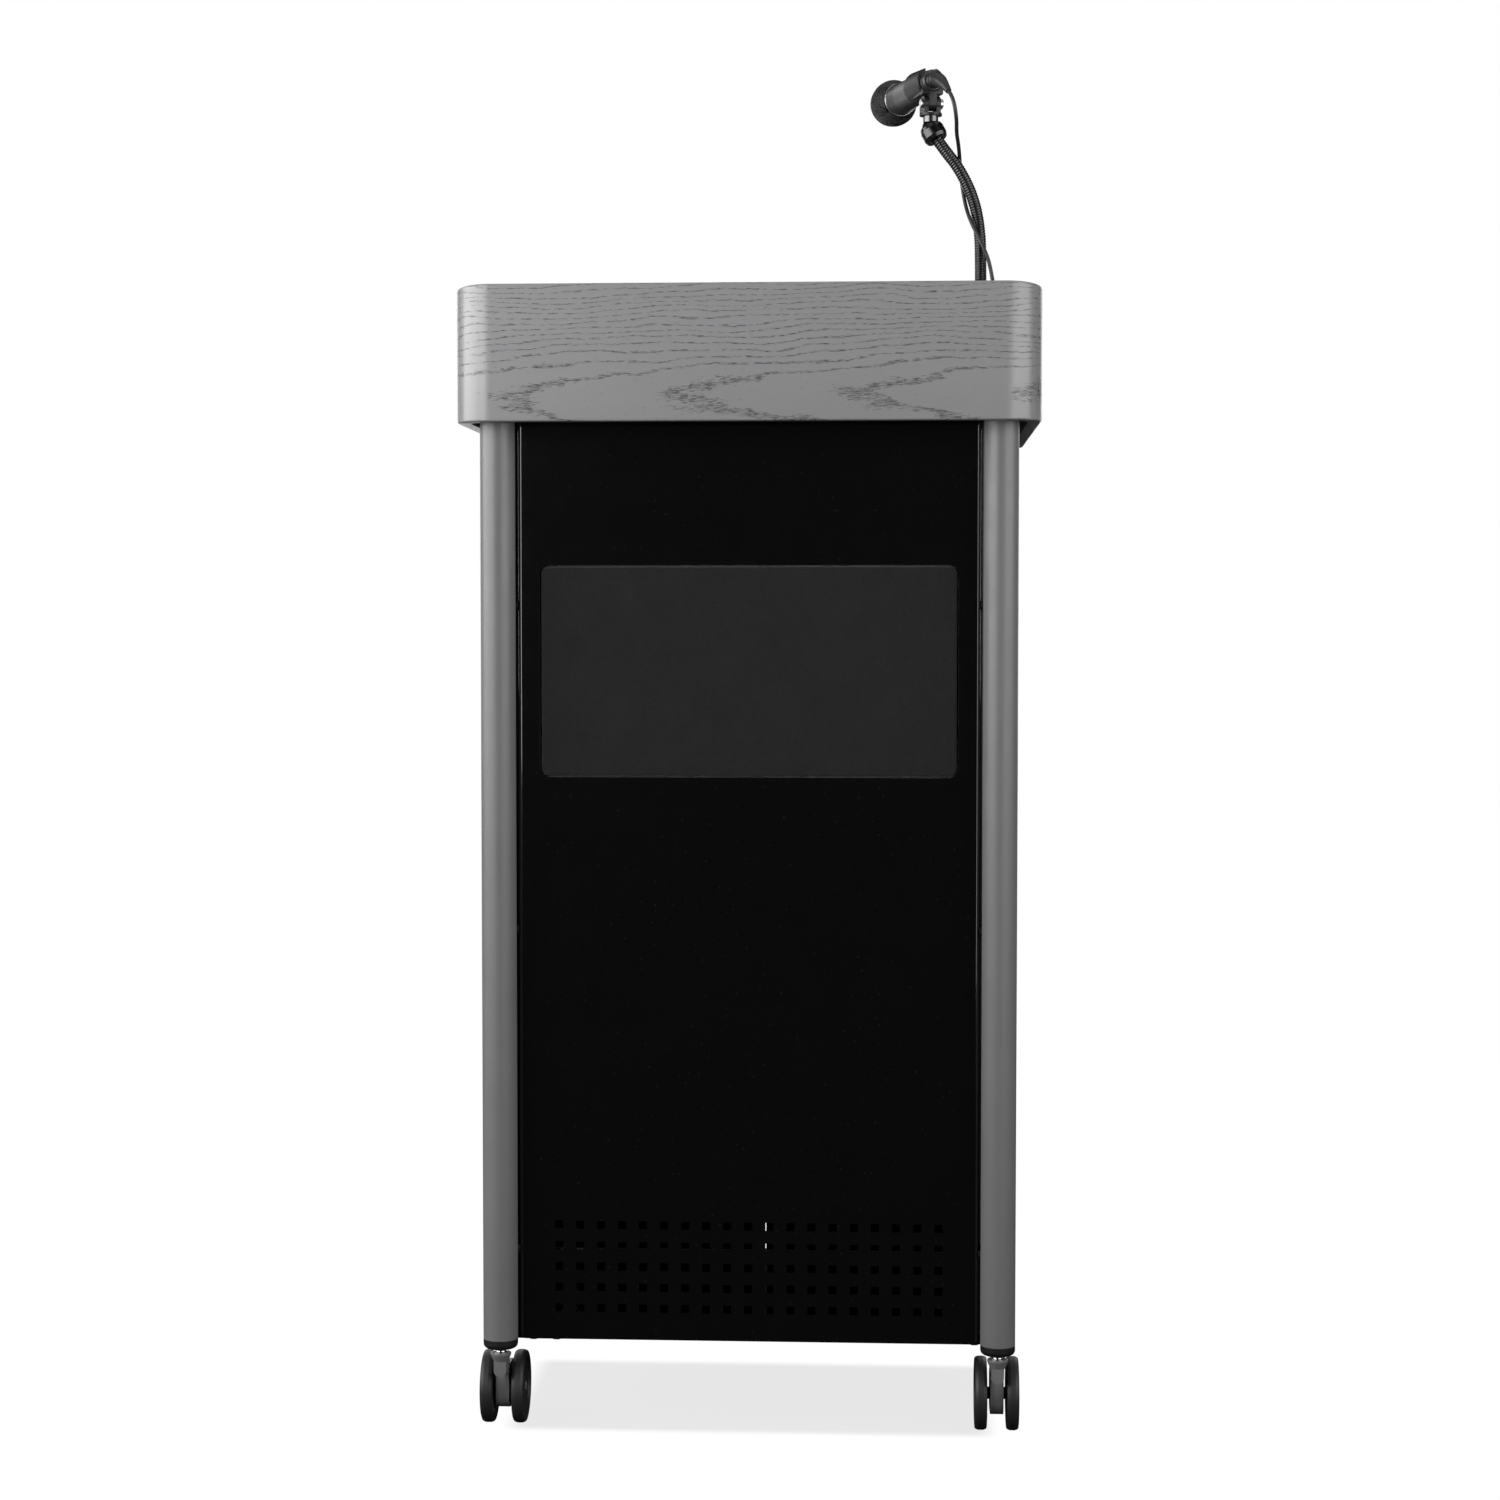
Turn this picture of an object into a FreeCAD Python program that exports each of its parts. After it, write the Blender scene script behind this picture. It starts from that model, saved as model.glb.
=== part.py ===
"""Sound lectern on four twin-wheel casters, in millimetres.

+Z is up, the audience is on the -Y side and the speaker on the +Y side. The origin lies on the
floor under the middle of the desk.
"""
import FreeCAD, Part
import math
import os

import Sketcher
from FreeCAD import Placement, Rotation, Vector

os.makedirs("parts", exist_ok=True)
doc = FreeCAD.newDocument("lectern")

# ---------------------------------------------------------------- driving dimensions
DIMENSIONS = {
    # desk
    "desk_width": 597, "desk_depth": 508, "desk_corner": 39, "skirt_wall": 14,
    "skirt_base": 1046, "skirt_height": 139, "top_slope": 6, "arris": 2,
    "board_recess": 14, "board_thickness": 16, "tray_height": 22, "tray_top": 1098,
    # legs and cabinet
    "leg_diameter": 36, "leg_wall": 2, "leg_span_x": 516, "leg_span_y": 424,
    "leg_base": 98, "leg_top": 1096.5, "cap_height": 10, "cap_plug_height": 34,
    "sheet": 1.2, "cabinet_width": 475.4, "cabinet_front": 209.5, "cabinet_rear": 202,
    "cabinet_base": 97, "panel_top": 1075, "panel_flange": 20, "panel_bend": 4,
    "panel_corner": 6, "floor_rise": 4, "strip_reach": 247, "strip_base": 92,
    "strip_level_y": 188.5,
    "plate": 2, "upper_shelf_level": 912, "cabinet_shelf_level": 420,
    "spacer_diameter": 9, "spacer_low": 190, "spacer_middle": 525, "spacer_high": 860,
    # grille and vents
    "grille_width": 427, "grille_height": 215, "grille_level": 792.5, "grille_gap": 1.5,
    "grille_corner": 9, "grille_thickness": 12, "grille_proud": 0.8,
    "vent_size": 8.4, "vent_pitch_x": 21.87, "vent_pitch_z": 21.8, "vent_low": 130,
    "vent_columns": 19, "vent_rows": 5,
    # doors
    "door_thickness": 15, "door_pin_x": 226, "door_pin_y": 202, "door_pin_diameter": 6,
    "door_gap": 1.5, "door_skin": 1.2,
    # casters
    "wheel_diameter": 76, "wheel_width": 12.6, "wheel_gap": 3.3, "web_width": 13.8,
    "caster_trail": 36, "axle_diameter": 6, "stem_diameter": 11, "pivot_diameter": 8,
    "caster_top": 83, "web_base": 19, "web_top": 61, "neck_tip": 58.7, "running_gap": 0.05,
    # speakers and amplifier
    "box_width": 450, "box_height": 230, "box_depth": 122, "box_wall": 12,
    "driver_diameter": 130, "driver_spacing": 210,
    "amplifier_width": 172, "amplifier_depth": 165, "amplifier_height": 118, "amplifier_x": 60,
    "amplifier_rear": 185, "knob_diameter": 22, "knob_length": 15, "shaft_diameter": 6,
    # gooseneck and microphone
    "gooseneck_diameter": 12.4, "gooseneck_x": 237, "gooseneck_y": -185,
    "grommet_x": 252.5, "grommet_y": -198, "cable_diameter": 4,
    "stud_diameter": 15.8, "hinge_level": 1375, "clip_x": 185.5, "clip_y": -170,
    "microphone_yaw": 17.3, "microphone_level": 1397.4, "ball_diameter": 48.5,
}
sheet = doc.addObject("Spreadsheet::Sheet", "dims")
for row, (alias, number) in enumerate(DIMENSIONS.items(), start=1):
    cell = f"A{row}"
    sheet.set(cell, str(number))
    sheet.setAlias(cell, alias)
doc.recompute()


# ---------------------------------------------------------------- helpers
def value(size):
    """A number, or the number that an expression over the sheet gives."""
    if isinstance(size, str):
        return float(sheet.evalExpression(size))
    return float(size)


def bind(thing, name, size):
    """Set a property, or bind it to the sheet when the size is an expression."""
    if isinstance(size, str):
        thing.setExpression(name, size)
    else:
        setattr(thing, name, size)


def place(thing, x=0, y=0, z=0, rotation=None):
    """Put an object at x, y, z, each a number or an expression."""
    thing.Placement = Placement(Vector(value(x), value(y), value(z)), rotation or Rotation())
    for axis, size in zip("xyz", (x, y, z)):
        if isinstance(size, str):
            thing.setExpression(f"Placement.Base.{axis}", size)
    return thing


def block(name, length, width, height, x, y, z, rotation=None):
    """Box from its low corner."""
    box = doc.addObject("Part::Box", name)
    bind(box, "Length", length)
    bind(box, "Width", width)
    bind(box, "Height", height)
    return place(box, x, y, z, rotation)


def rod(name, radius, height, x, y, z, rotation=None):
    """Cylinder from the middle of its low face."""
    cylinder = doc.addObject("Part::Cylinder", name)
    bind(cylinder, "Radius", radius)
    bind(cylinder, "Height", height)
    return place(cylinder, x, y, z, rotation)


def cut(name, base, tool):
    result = doc.addObject("Part::Cut", name)
    result.Base = base
    result.Tool = tool
    return result


def fuse(name, *pieces):
    result = doc.addObject("Part::MultiFuse", name)
    result.Shapes = list(pieces)
    return result


def group(name, *pieces):
    """Several separate solids in one node."""
    result = doc.addObject("Part::Compound", name)
    result.Links = list(pieces)
    return result


def new_body(name):
    return doc.addObject("PartDesign::Body", name)


def sketch_on(body, role, offset=0):
    """Sketch on one of the body's own origin planes, moved along its normal."""
    sketch = body.newObject("Sketcher::SketchObject", body.Name + "_sketch")
    support = [plane for plane in body.Origin.OriginFeatures if plane.Role == role][0]
    sketch.AttachmentSupport = (support, [""])
    sketch.MapMode = "FlatFace"
    sketch.AttachmentOffset = Placement(Vector(0, 0, value(offset)), Rotation())
    if isinstance(offset, str):
        sketch.setExpression("AttachmentOffset.Base.z", offset)
    return sketch


def hold(sketch, kind, line, axis_name, size):
    """Hold one end of a sketch line at a distance from an axis, or on the axis."""
    number = value(size)
    if abs(number) < 1e-9:
        sketch.addConstraint(Sketcher.Constraint("PointOnObject", line, 1, axis_name))
        return
    index = sketch.addConstraint(Sketcher.Constraint(kind, line, 1, number))
    if isinstance(size, str):
        sketch.renameConstraint(index, f"{kind}_{line}")
        sketch.setExpression(f"Constraints.{kind}_{line}", size)


def polygon(sketch, corners):
    """Closed outline of straight lines through corners, each held at its two sizes."""
    points = [Vector(value(a), value(b), 0) for a, b in corners]
    first = sketch.GeometryCount
    count = len(points)
    for index in range(count):
        sketch.addGeometry(Part.LineSegment(points[index], points[(index + 1) % count]))
    for index in range(count):
        following = first + (index + 1) % count
        sketch.addConstraint(Sketcher.Constraint("Coincident", first + index, 2, following, 1))
    for index, (a, b) in enumerate(corners):
        hold(sketch, "DistanceX", first + index, -2, a)
        hold(sketch, "DistanceY", first + index, -1, b)


def rounded_outline(sketch, corners):
    """Closed outline whose corners (a, b, radius) are rounded where the radius isn't 0."""
    points = [Vector(value(a), value(b), 0) for a, b, _ in corners]
    radii = [value(radius) for _, _, radius in corners]
    count = len(points)
    starts, ends = [], []
    for index, (point, radius) in enumerate(zip(points, radii)):
        inward = (points[index - 1] - point).normalize()
        outward = (points[(index + 1) % count] - point).normalize()
        reach = radius / math.tan(inward.getAngle(outward) / 2) if radius else 0
        starts.append(point + inward * reach)
        ends.append(point + outward * reach)
        if radius:
            middle = (inward + outward).normalize()
            distance = radius / math.sin(inward.getAngle(outward) / 2) - radius
            arc = Part.Arc(starts[-1], point + middle * distance, ends[-1])
            sketch.addGeometry(arc)
    for index in range(count):
        start, end = ends[index], starts[(index + 1) % count]
        if start.distanceToPoint(end) > 1e-6:
            sketch.addGeometry(Part.LineSegment(start, end))


def rectangle(sketch, width, height, radius, x=0, y=0):
    """Rounded rectangle about the point x, y."""
    a, b = value(width) / 2, value(height) / 2
    x, y = value(x), value(y)
    corners = [(x - a, y - b), (x + a, y - b), (x + a, y + b), (x - a, y + b)]
    rounded_outline(sketch, [(u, v, value(radius)) for u, v in corners])


def pad(body, sketch, length, reverse=False, both=False):
    feature = body.newObject("PartDesign::Pad", body.Name + "_pad")
    feature.Profile = sketch
    bind(feature, "Length", length)
    feature.Reversed = reverse
    feature.Midplane = both
    body.Tip = feature
    return feature


def pocket(body, sketch, length, reverse=False, both=False):
    """Cut a sketch away, and check that something was cut."""
    doc.recompute()
    before = body.Shape.Volume
    feature = body.newObject("PartDesign::Pocket", body.Name + "_pocket")
    feature.Profile = sketch
    bind(feature, "Length", length)
    feature.Reversed = reverse
    feature.Midplane = both
    body.Tip = feature
    doc.recompute()
    if body.Shape.Volume >= before - 0.01:
        raise RuntimeError(body.Name + ": a pocket cut nothing")
    return feature


def turned(name, corners):
    """Solid of revolution about its own Z axis; corners are (radius, height[, rounding])."""
    body = new_body(name)
    sketch = sketch_on(body, "XZ_Plane")
    if len(corners[0]) == 3:
        rounded_outline(sketch, corners)
    else:
        polygon(sketch, corners)
    feature = body.newObject("PartDesign::Revolution", name + "_revolution")
    feature.Profile = sketch
    feature.ReferenceAxis = (sketch, ["V_Axis"])
    feature.Angle = 360
    body.Tip = feature
    return body


def copy_of(name, source, x=0, y=0, z=0, rotation=None):
    """A second solid of the same shape elsewhere."""
    doc.recompute()
    feature = doc.addObject("Part::Feature", name)
    feature.Shape = source.Shape.copy()
    feature.Placement = Placement(Vector(value(x), value(y), value(z)), rotation or Rotation())
    return feature


def along(direction):
    """Rotation that takes +Z to a direction."""
    return Rotation(Vector(0, 0, 1), Vector(*direction))


def corner_arc(before, point, after):
    """Largest arc that two runs allow at their shared point, with its radius."""
    inward = (before - point).normalize()
    outward = (after - point).normalize()
    half_turn = (math.pi - inward.getAngle(outward)) / 2
    shorter = min(point.distanceToPoint(before), point.distanceToPoint(after))
    reach = 0.45 * shorter
    radius = reach / math.tan(half_turn)
    start, end = point + inward * reach, point + outward * reach
    bulge = radius / math.cos(half_turn) - radius
    middle = point + (inward + outward).normalize() * bulge
    return start, middle, end, radius


def route(points):
    """Path of straight runs joined by tangent arcs, with the arcs' radii."""
    edges, radii = [], []
    last = points[0]
    for index in range(1, len(points) - 1):
        start, middle, end, radius = corner_arc(*points[index - 1:index + 2])
        edges.append(Part.LineSegment(last, start).toShape())
        edges.append(Part.Arc(start, middle, end).toShape())
        radii.append(radius)
        last = end
    edges.append(Part.LineSegment(last, points[-1]).toShape())
    return Part.Wire(edges), radii


def tube_along(name, points, diameter):
    """Round bar that follows a route; its volume is checked against its length."""
    path, radii = route(points)
    tangent = (points[1] - points[0]).normalize()
    ring = Part.Wire(Part.makeCircle(diameter / 2, points[0], tangent))
    shape = path.makePipeShell([ring], True, False)
    expected = math.pi * diameter ** 2 / 4 * path.Length
    if abs(shape.Volume / expected - 1) > 0.01:
        raise RuntimeError(f"{name}: its volume doesn't fit its length")
    print(f"{name}: length {path.Length:.1f}, smallest radius {min(radii):.1f}")
    feature = doc.addObject("Part::Feature", name)
    feature.Shape = shape
    return feature


SIDES = (("left", -1), ("right", 1))
ENDS = (("front", -1), ("rear", 1))
LEG_X, LEG_Y = "dims.leg_span_x / 2", "dims.leg_span_y / 2"
DESK_FRONT = -value("dims.desk_depth") / 2
SLOPE = math.radians(value("dims.top_slope"))
BOARD_NORMAL = Vector(0, math.sin(SLOPE), math.cos(SLOPE))
nodes = []


def node(thing):
    """Name a finished piece after its object and list it for export."""
    thing.Label = thing.Name
    nodes.append(thing)
    return thing


def desk_level(y, depth_below=0):
    """Height of the desk's sloping top plane at y, or of a plane parallel to it."""
    top = value("dims.skirt_base + dims.skirt_height") - (y - DESK_FRONT) * math.tan(SLOPE)
    return top - depth_below / math.cos(SLOPE)


def slope_cut(body, depth_below, above=True):
    """Cut a body away above or below a plane parallel to the desk's top."""
    reach = 300
    far = 400 if above else -400
    sketch = sketch_on(body, "YZ_Plane")
    low, high = -reach, reach
    polygon(sketch, [
        (low, desk_level(low, depth_below)), (high, desk_level(high, depth_below)),
        (high, desk_level(0, depth_below) + far), (low, desk_level(0, depth_below) + far)])
    return pocket(body, sketch, 2 * reach + 100, both=True)


# ---------------------------------------------------------------- desk
def make_desk():
    skirt = new_body("desk_skirt")
    outline = sketch_on(skirt, "XY_Plane", "dims.skirt_base")
    rectangle(outline, "dims.desk_width", "dims.desk_depth", "dims.desk_corner")
    pad(skirt, outline, "dims.skirt_height")
    inside = sketch_on(skirt, "XY_Plane", "dims.skirt_base")
    rectangle(inside, "dims.desk_width - 2 * dims.skirt_wall",
              "dims.desk_depth - 2 * dims.skirt_wall", "dims.desk_corner - dims.skirt_wall")
    pocket(skirt, inside, "dims.skirt_height", reverse=True)
    slope_cut(skirt, 0)
    # every outer arris, top and bottom, is eased
    outer = value("dims.desk_width / 2"), value("dims.desk_depth / 2")
    eased = []
    for index, edge in enumerate(skirt.Shape.Edges, start=1):
        box = edge.BoundBox
        reaches_x = max(abs(box.XMin), abs(box.XMax)) > outer[0] - 0.01
        reaches_y = max(abs(box.YMin), abs(box.YMax)) > outer[1] - 0.01
        upright = box.XLength < 0.01 and box.YLength < 0.01
        if (reaches_x or reaches_y) and not upright:
            eased.append(f"Edge{index}")
    sloped = skirt.Tip
    fillet = skirt.newObject("PartDesign::Fillet", "desk_skirt_arris")
    fillet.Base = (sloped, eased)
    bind(fillet, "Radius", "dims.arris")
    skirt.Tip = fillet
    node(skirt)

    board = new_body("reading_board")
    outline = sketch_on(board, "XY_Plane", "dims.skirt_base")
    rectangle(outline, "dims.desk_width - 2 * dims.skirt_wall",
              "dims.desk_depth - 2 * dims.skirt_wall", "dims.desk_corner - dims.skirt_wall")
    pad(board, outline, "dims.skirt_height")
    slope_cut(board, value("dims.board_recess"))
    slope_cut(board, value("dims.board_recess + dims.board_thickness"), above=False)
    holes = []
    for name, x, y, radius in (("gooseneck", "dims.gooseneck_x", "dims.gooseneck_y", 6.5),
                               ("grommet", "dims.grommet_x", "dims.grommet_y", 4.5)):
        foot = board_point(value(x), value(y), -40)
        holes.append(rod(f"{name}_hole", radius, 80, foot.x, foot.y, foot.z, along(BOARD_NORMAL)))
    node(cut("reading_surface", board, group("board_holes", *holes)))

    tray = new_body("desk_frame")
    outline = sketch_on(tray, "XY_Plane", "dims.tray_top - dims.tray_height")
    rectangle(outline, "dims.desk_width - 2 * dims.skirt_wall",
              "dims.desk_depth - 2 * dims.skirt_wall", "dims.desk_corner - dims.skirt_wall")
    pad(tray, outline, "dims.tray_height")
    hollow = sketch_on(tray, "XY_Plane", "dims.tray_top - dims.tray_height")
    rectangle(hollow, "dims.desk_width - 2 * dims.skirt_wall - 3",
              "dims.desk_depth - 2 * dims.skirt_wall - 3", "dims.desk_corner - dims.skirt_wall - 1.5")
    pocket(tray, hollow, "dims.tray_height - 1.5", reverse=True)
    node(tray)


def board_point(x, y, height=0):
    """Point at a height along the board's normal over its top surface at x, y."""
    surface = Vector(x, y, desk_level(y, value("dims.board_recess")))
    return surface + BOARD_NORMAL * height


# ---------------------------------------------------------------- legs
def make_legs():
    for end, y_side in ENDS:
        for side, x_side in SIDES:
            spot = (f"{x_side} * {LEG_X}", f"{y_side} * {LEG_Y}", "dims.leg_base")
            name = f"leg_{end}_{side}"
            outer = rod(name + "_outer", "dims.leg_diameter / 2",
                        "dims.leg_top - dims.leg_base", *spot)
            inner = rod(name + "_bore", "dims.leg_diameter / 2 - dims.leg_wall",
                        "dims.leg_top - dims.leg_base", *spot)
            node(cut(name, outer, inner))

    leg, bore = value("dims.leg_diameter / 2"), value("dims.leg_diameter / 2 - dims.leg_wall")
    hole = value("dims.stem_diameter / 2")
    height, plug = value("dims.cap_height"), value("dims.cap_plug_height")
    cap = turned("leg_cap_pattern", [
        (hole, 0, 0), (leg, 0, 5), (leg, height, 0), (bore, height, 0),
        (bore, height + plug, 1), (hole, height + plug, 0)])
    stem_top = height + plug - 4
    pivot = value("dims.pivot_diameter / 2")
    stem = turned("stem_pattern", [
        (0, 4, 0), (pivot, 4, 1), (pivot, 24, 0), (hole + 2, 24, 0), (hole + 2, 25.6, 0),
        (hole, 25.6, 0), (hole, 29 + stem_top, 1.5), (0, 29 + stem_top, 0)])
    caps, stems = [], []
    for end, y_side in ENDS:
        for side, x_side in SIDES:
            x, y = x_side * value(LEG_X), y_side * value(LEG_Y)
            cap_base = value("dims.leg_base") - height
            caps.append(copy_of(f"cap_{end}_{side}", cap, x, y, cap_base))
            stems.append(copy_of(f"stem_{end}_{side}", stem, x, y, cap_base - 29))
    node(group("leg_end_caps", *caps))
    node(group("caster_stems", *stems))


# ---------------------------------------------------------------- casters
def make_casters():
    """Twin-wheel casters; the front pair trails to the rear and the rear pair to the front."""
    trail, axle_level = value("dims.caster_trail"), value("dims.wheel_diameter / 2")
    web, wheel = value("dims.web_width"), value("dims.wheel_width")
    gap, axle = value("dims.wheel_gap"), value("dims.axle_diameter / 2")
    clear = value("dims.running_gap")
    tyre = value("dims.wheel_diameter / 2")
    half_axle = web / 2 + gap + wheel - 0.7

    # wheel: its own Z is the axle, z = 0 at the inner face; a hub stands out towards the web
    wheel_body = turned("wheel_pattern", [
        (axle + clear, 0.3 - gap, 0), (6.6, 0.3 - gap, 0.5), (6.6, 1.5, 0), (tyre - 11, 1.5, 2),
        (tyre - 8, 0, 1), (tyre, 0, 4), (tyre, wheel, 4), (tyre - 8.5, wheel, 1.5),
        (tyre - 10.5, wheel - 3.5, 1.5), (10, wheel - 3.5, 1.5), (8, wheel - 2.2, 0.6),
        (axle + clear, wheel - 2.2, 0)])

    # housing: pivot at y = 0, axle at y = trail, z measured from the floor
    top = value("dims.caster_top")
    low, web_top, tip = (value(f"dims.{n}") for n in ("web_base", "web_top", "neck_tip"))
    collar = turned("caster_collar", [
        (0, tip + 8, 0), (6.6, tip + 8, 0), (6.6, top - 11.5, 4), (9.2, top - 6, 3),
        (10.8, top - 2, 2), (10.8, top, 0.8), (0, top, 0)])
    plate = new_body("caster_web")
    outline = sketch_on(plate, "YZ_Plane")
    rounded_outline(outline, [
        (trail - 25, low, 14), (trail + 23, low, 16), (trail + 23, 55, 12), (trail + 8, 66, 8),
        (22, 66, 3), (16, web_top, 3), (trail - 25, web_top, 2)])
    pad(plate, outline, "dims.web_width", both=True)
    # the neck runs down from the collar to a round tip in front of the web
    neck = new_body("caster_neck")
    outline = sketch_on(neck, "XZ_Plane", 8.6)
    rounded_outline(outline, [(-6.3, tip, 6.2), (6.3, tip, 6.2), (6.6, top - 9, 0),
                              (-6.6, top - 9, 0)])
    pad(neck, outline, 32, reverse=True)
    neck_slope = new_body("caster_neck_slope")
    outline = sketch_on(neck_slope, "YZ_Plane")
    polygon(outline, [(9, top), (40, top), (40, 66), (23, 66)])
    pad(neck_slope, outline, 40, both=True)
    neck = cut("caster_neck_sloped", neck, neck_slope)
    collar_bore = rod("caster_bore", "dims.pivot_diameter / 2 + dims.running_gap",
                      top - tip, 0, 0, tip + 4)
    axle_bore = rod("axle_bore", "dims.axle_diameter / 2", 60, -30, "dims.caster_trail",
                    "dims.wheel_diameter / 2", along((1, 0, 0)))
    plain = cut("caster_housing_plain", fuse("caster_solid", collar, plate, neck),
                group("caster_bores", collar_bore, axle_bore))
    axle_bar = turned("axle_pattern", [
        (0, -half_axle, 0), (axle + 2, -half_axle, 0), (axle + 2, 1.2 - half_axle, 0),
        (axle, 1.2 - half_axle, 0), (axle, half_axle - 1.2, 0), (axle + 2, half_axle - 1.2, 0),
        (axle + 2, half_axle, 0), (0, half_axle, 0)])

    # brake: a lug on the web's far side carries the pedal's pin
    lug_y, lug_z, lug = trail + 17, 62.5, 6
    lug_disc = rod("brake_lug_disc", lug, 6, -3, lug_y, lug_z, along((1, 0, 0)))
    lug_root = block("brake_lug_root", 6, 14, 22, -3, lug_y - 12, lug_z - 20)
    lug_hole = rod("brake_lug_hole", 2, 60, -30, lug_y, lug_z, along((1, 0, 0)))
    lug_hull = fuse("caster_solid_brake", collar, plate, neck, lug_disc, lug_root)
    pocket_low = block("brake_room_left", 9, 30, 30, -12, lug_y - 9, lug_z - 9)
    pocket_high = block("brake_room_right", 9, 30, 30, 3, lug_y - 9, lug_z - 9)
    braked = cut("caster_housing_braked", lug_hull,
                 group("brake_cuts", collar_bore, axle_bore, lug_hole, pocket_low, pocket_high))

    pedal_ears = []
    for name, x in (("left", -6.8), ("right", 3.3)):
        ear = rod(f"pedal_ear_{name}", 5.5, 3.5, x, 0, 0, along((1, 0, 0)))
        arm = block(f"pedal_arm_{name}", 3.5, 15, 5, x, 0, 0.5)
        pedal_ears += [ear, arm]
    pad_plate = new_body("pedal_pad")
    outline = sketch_on(pad_plate, "XY_Plane")
    rectangle(outline, 34, 18, 5, 0, 22)
    pad(pad_plate, outline, 4.5)
    pad_plate.Placement = Placement(Vector(0, 0, 1.5), Rotation())
    pedal_pin = rod("pedal_pin", "2 - dims.running_gap", 13.6, -6.8, 0, 0, along((1, 0, 0)))
    pedal = fuse("pedal_pattern", *pedal_ears, pad_plate, pedal_pin)
    doc.recompute()

    for end, y_side in ENDS:
        for side, x_side in SIDES:
            turn = Rotation(Vector(0, 0, 1), 0 if end == "front" else 180)
            origin = Vector(x_side * value(LEG_X), y_side * value(LEG_Y), 0)

            def put(name, source, local=Placement()):
                feature = doc.addObject("Part::Feature", name)
                feature.Shape = source.Shape.copy()
                feature.Placement = Placement(origin, turn).multiply(local.multiply(
                    source.Placement))
                return feature

            name = f"caster_{end}_{side}"
            axle_spot = Vector(0, trail, axle_level)
            axle_turn = Rotation(Vector(0, 1, 0), 90)
            shell = put(name + "_shell", braked if end == "rear" else plain)
            bar = put(name + "_axle", axle_bar, Placement(axle_spot, axle_turn))
            node(group(name + "_housing", shell, bar))
            for wheel_side, sign in SIDES:
                hub = Vector(sign * (web / 2 + gap), trail, axle_level)
                facing = Rotation(Vector(0, 1, 0), 90 * sign)
                node(put(f"{name}_wheel_{wheel_side}", wheel_body, Placement(hub, facing)))
            if end == "rear":
                spot = Placement(Vector(0, lug_y, lug_z), Rotation())
                node(put(f"brake_pedal_{side}", pedal, spot))


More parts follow.
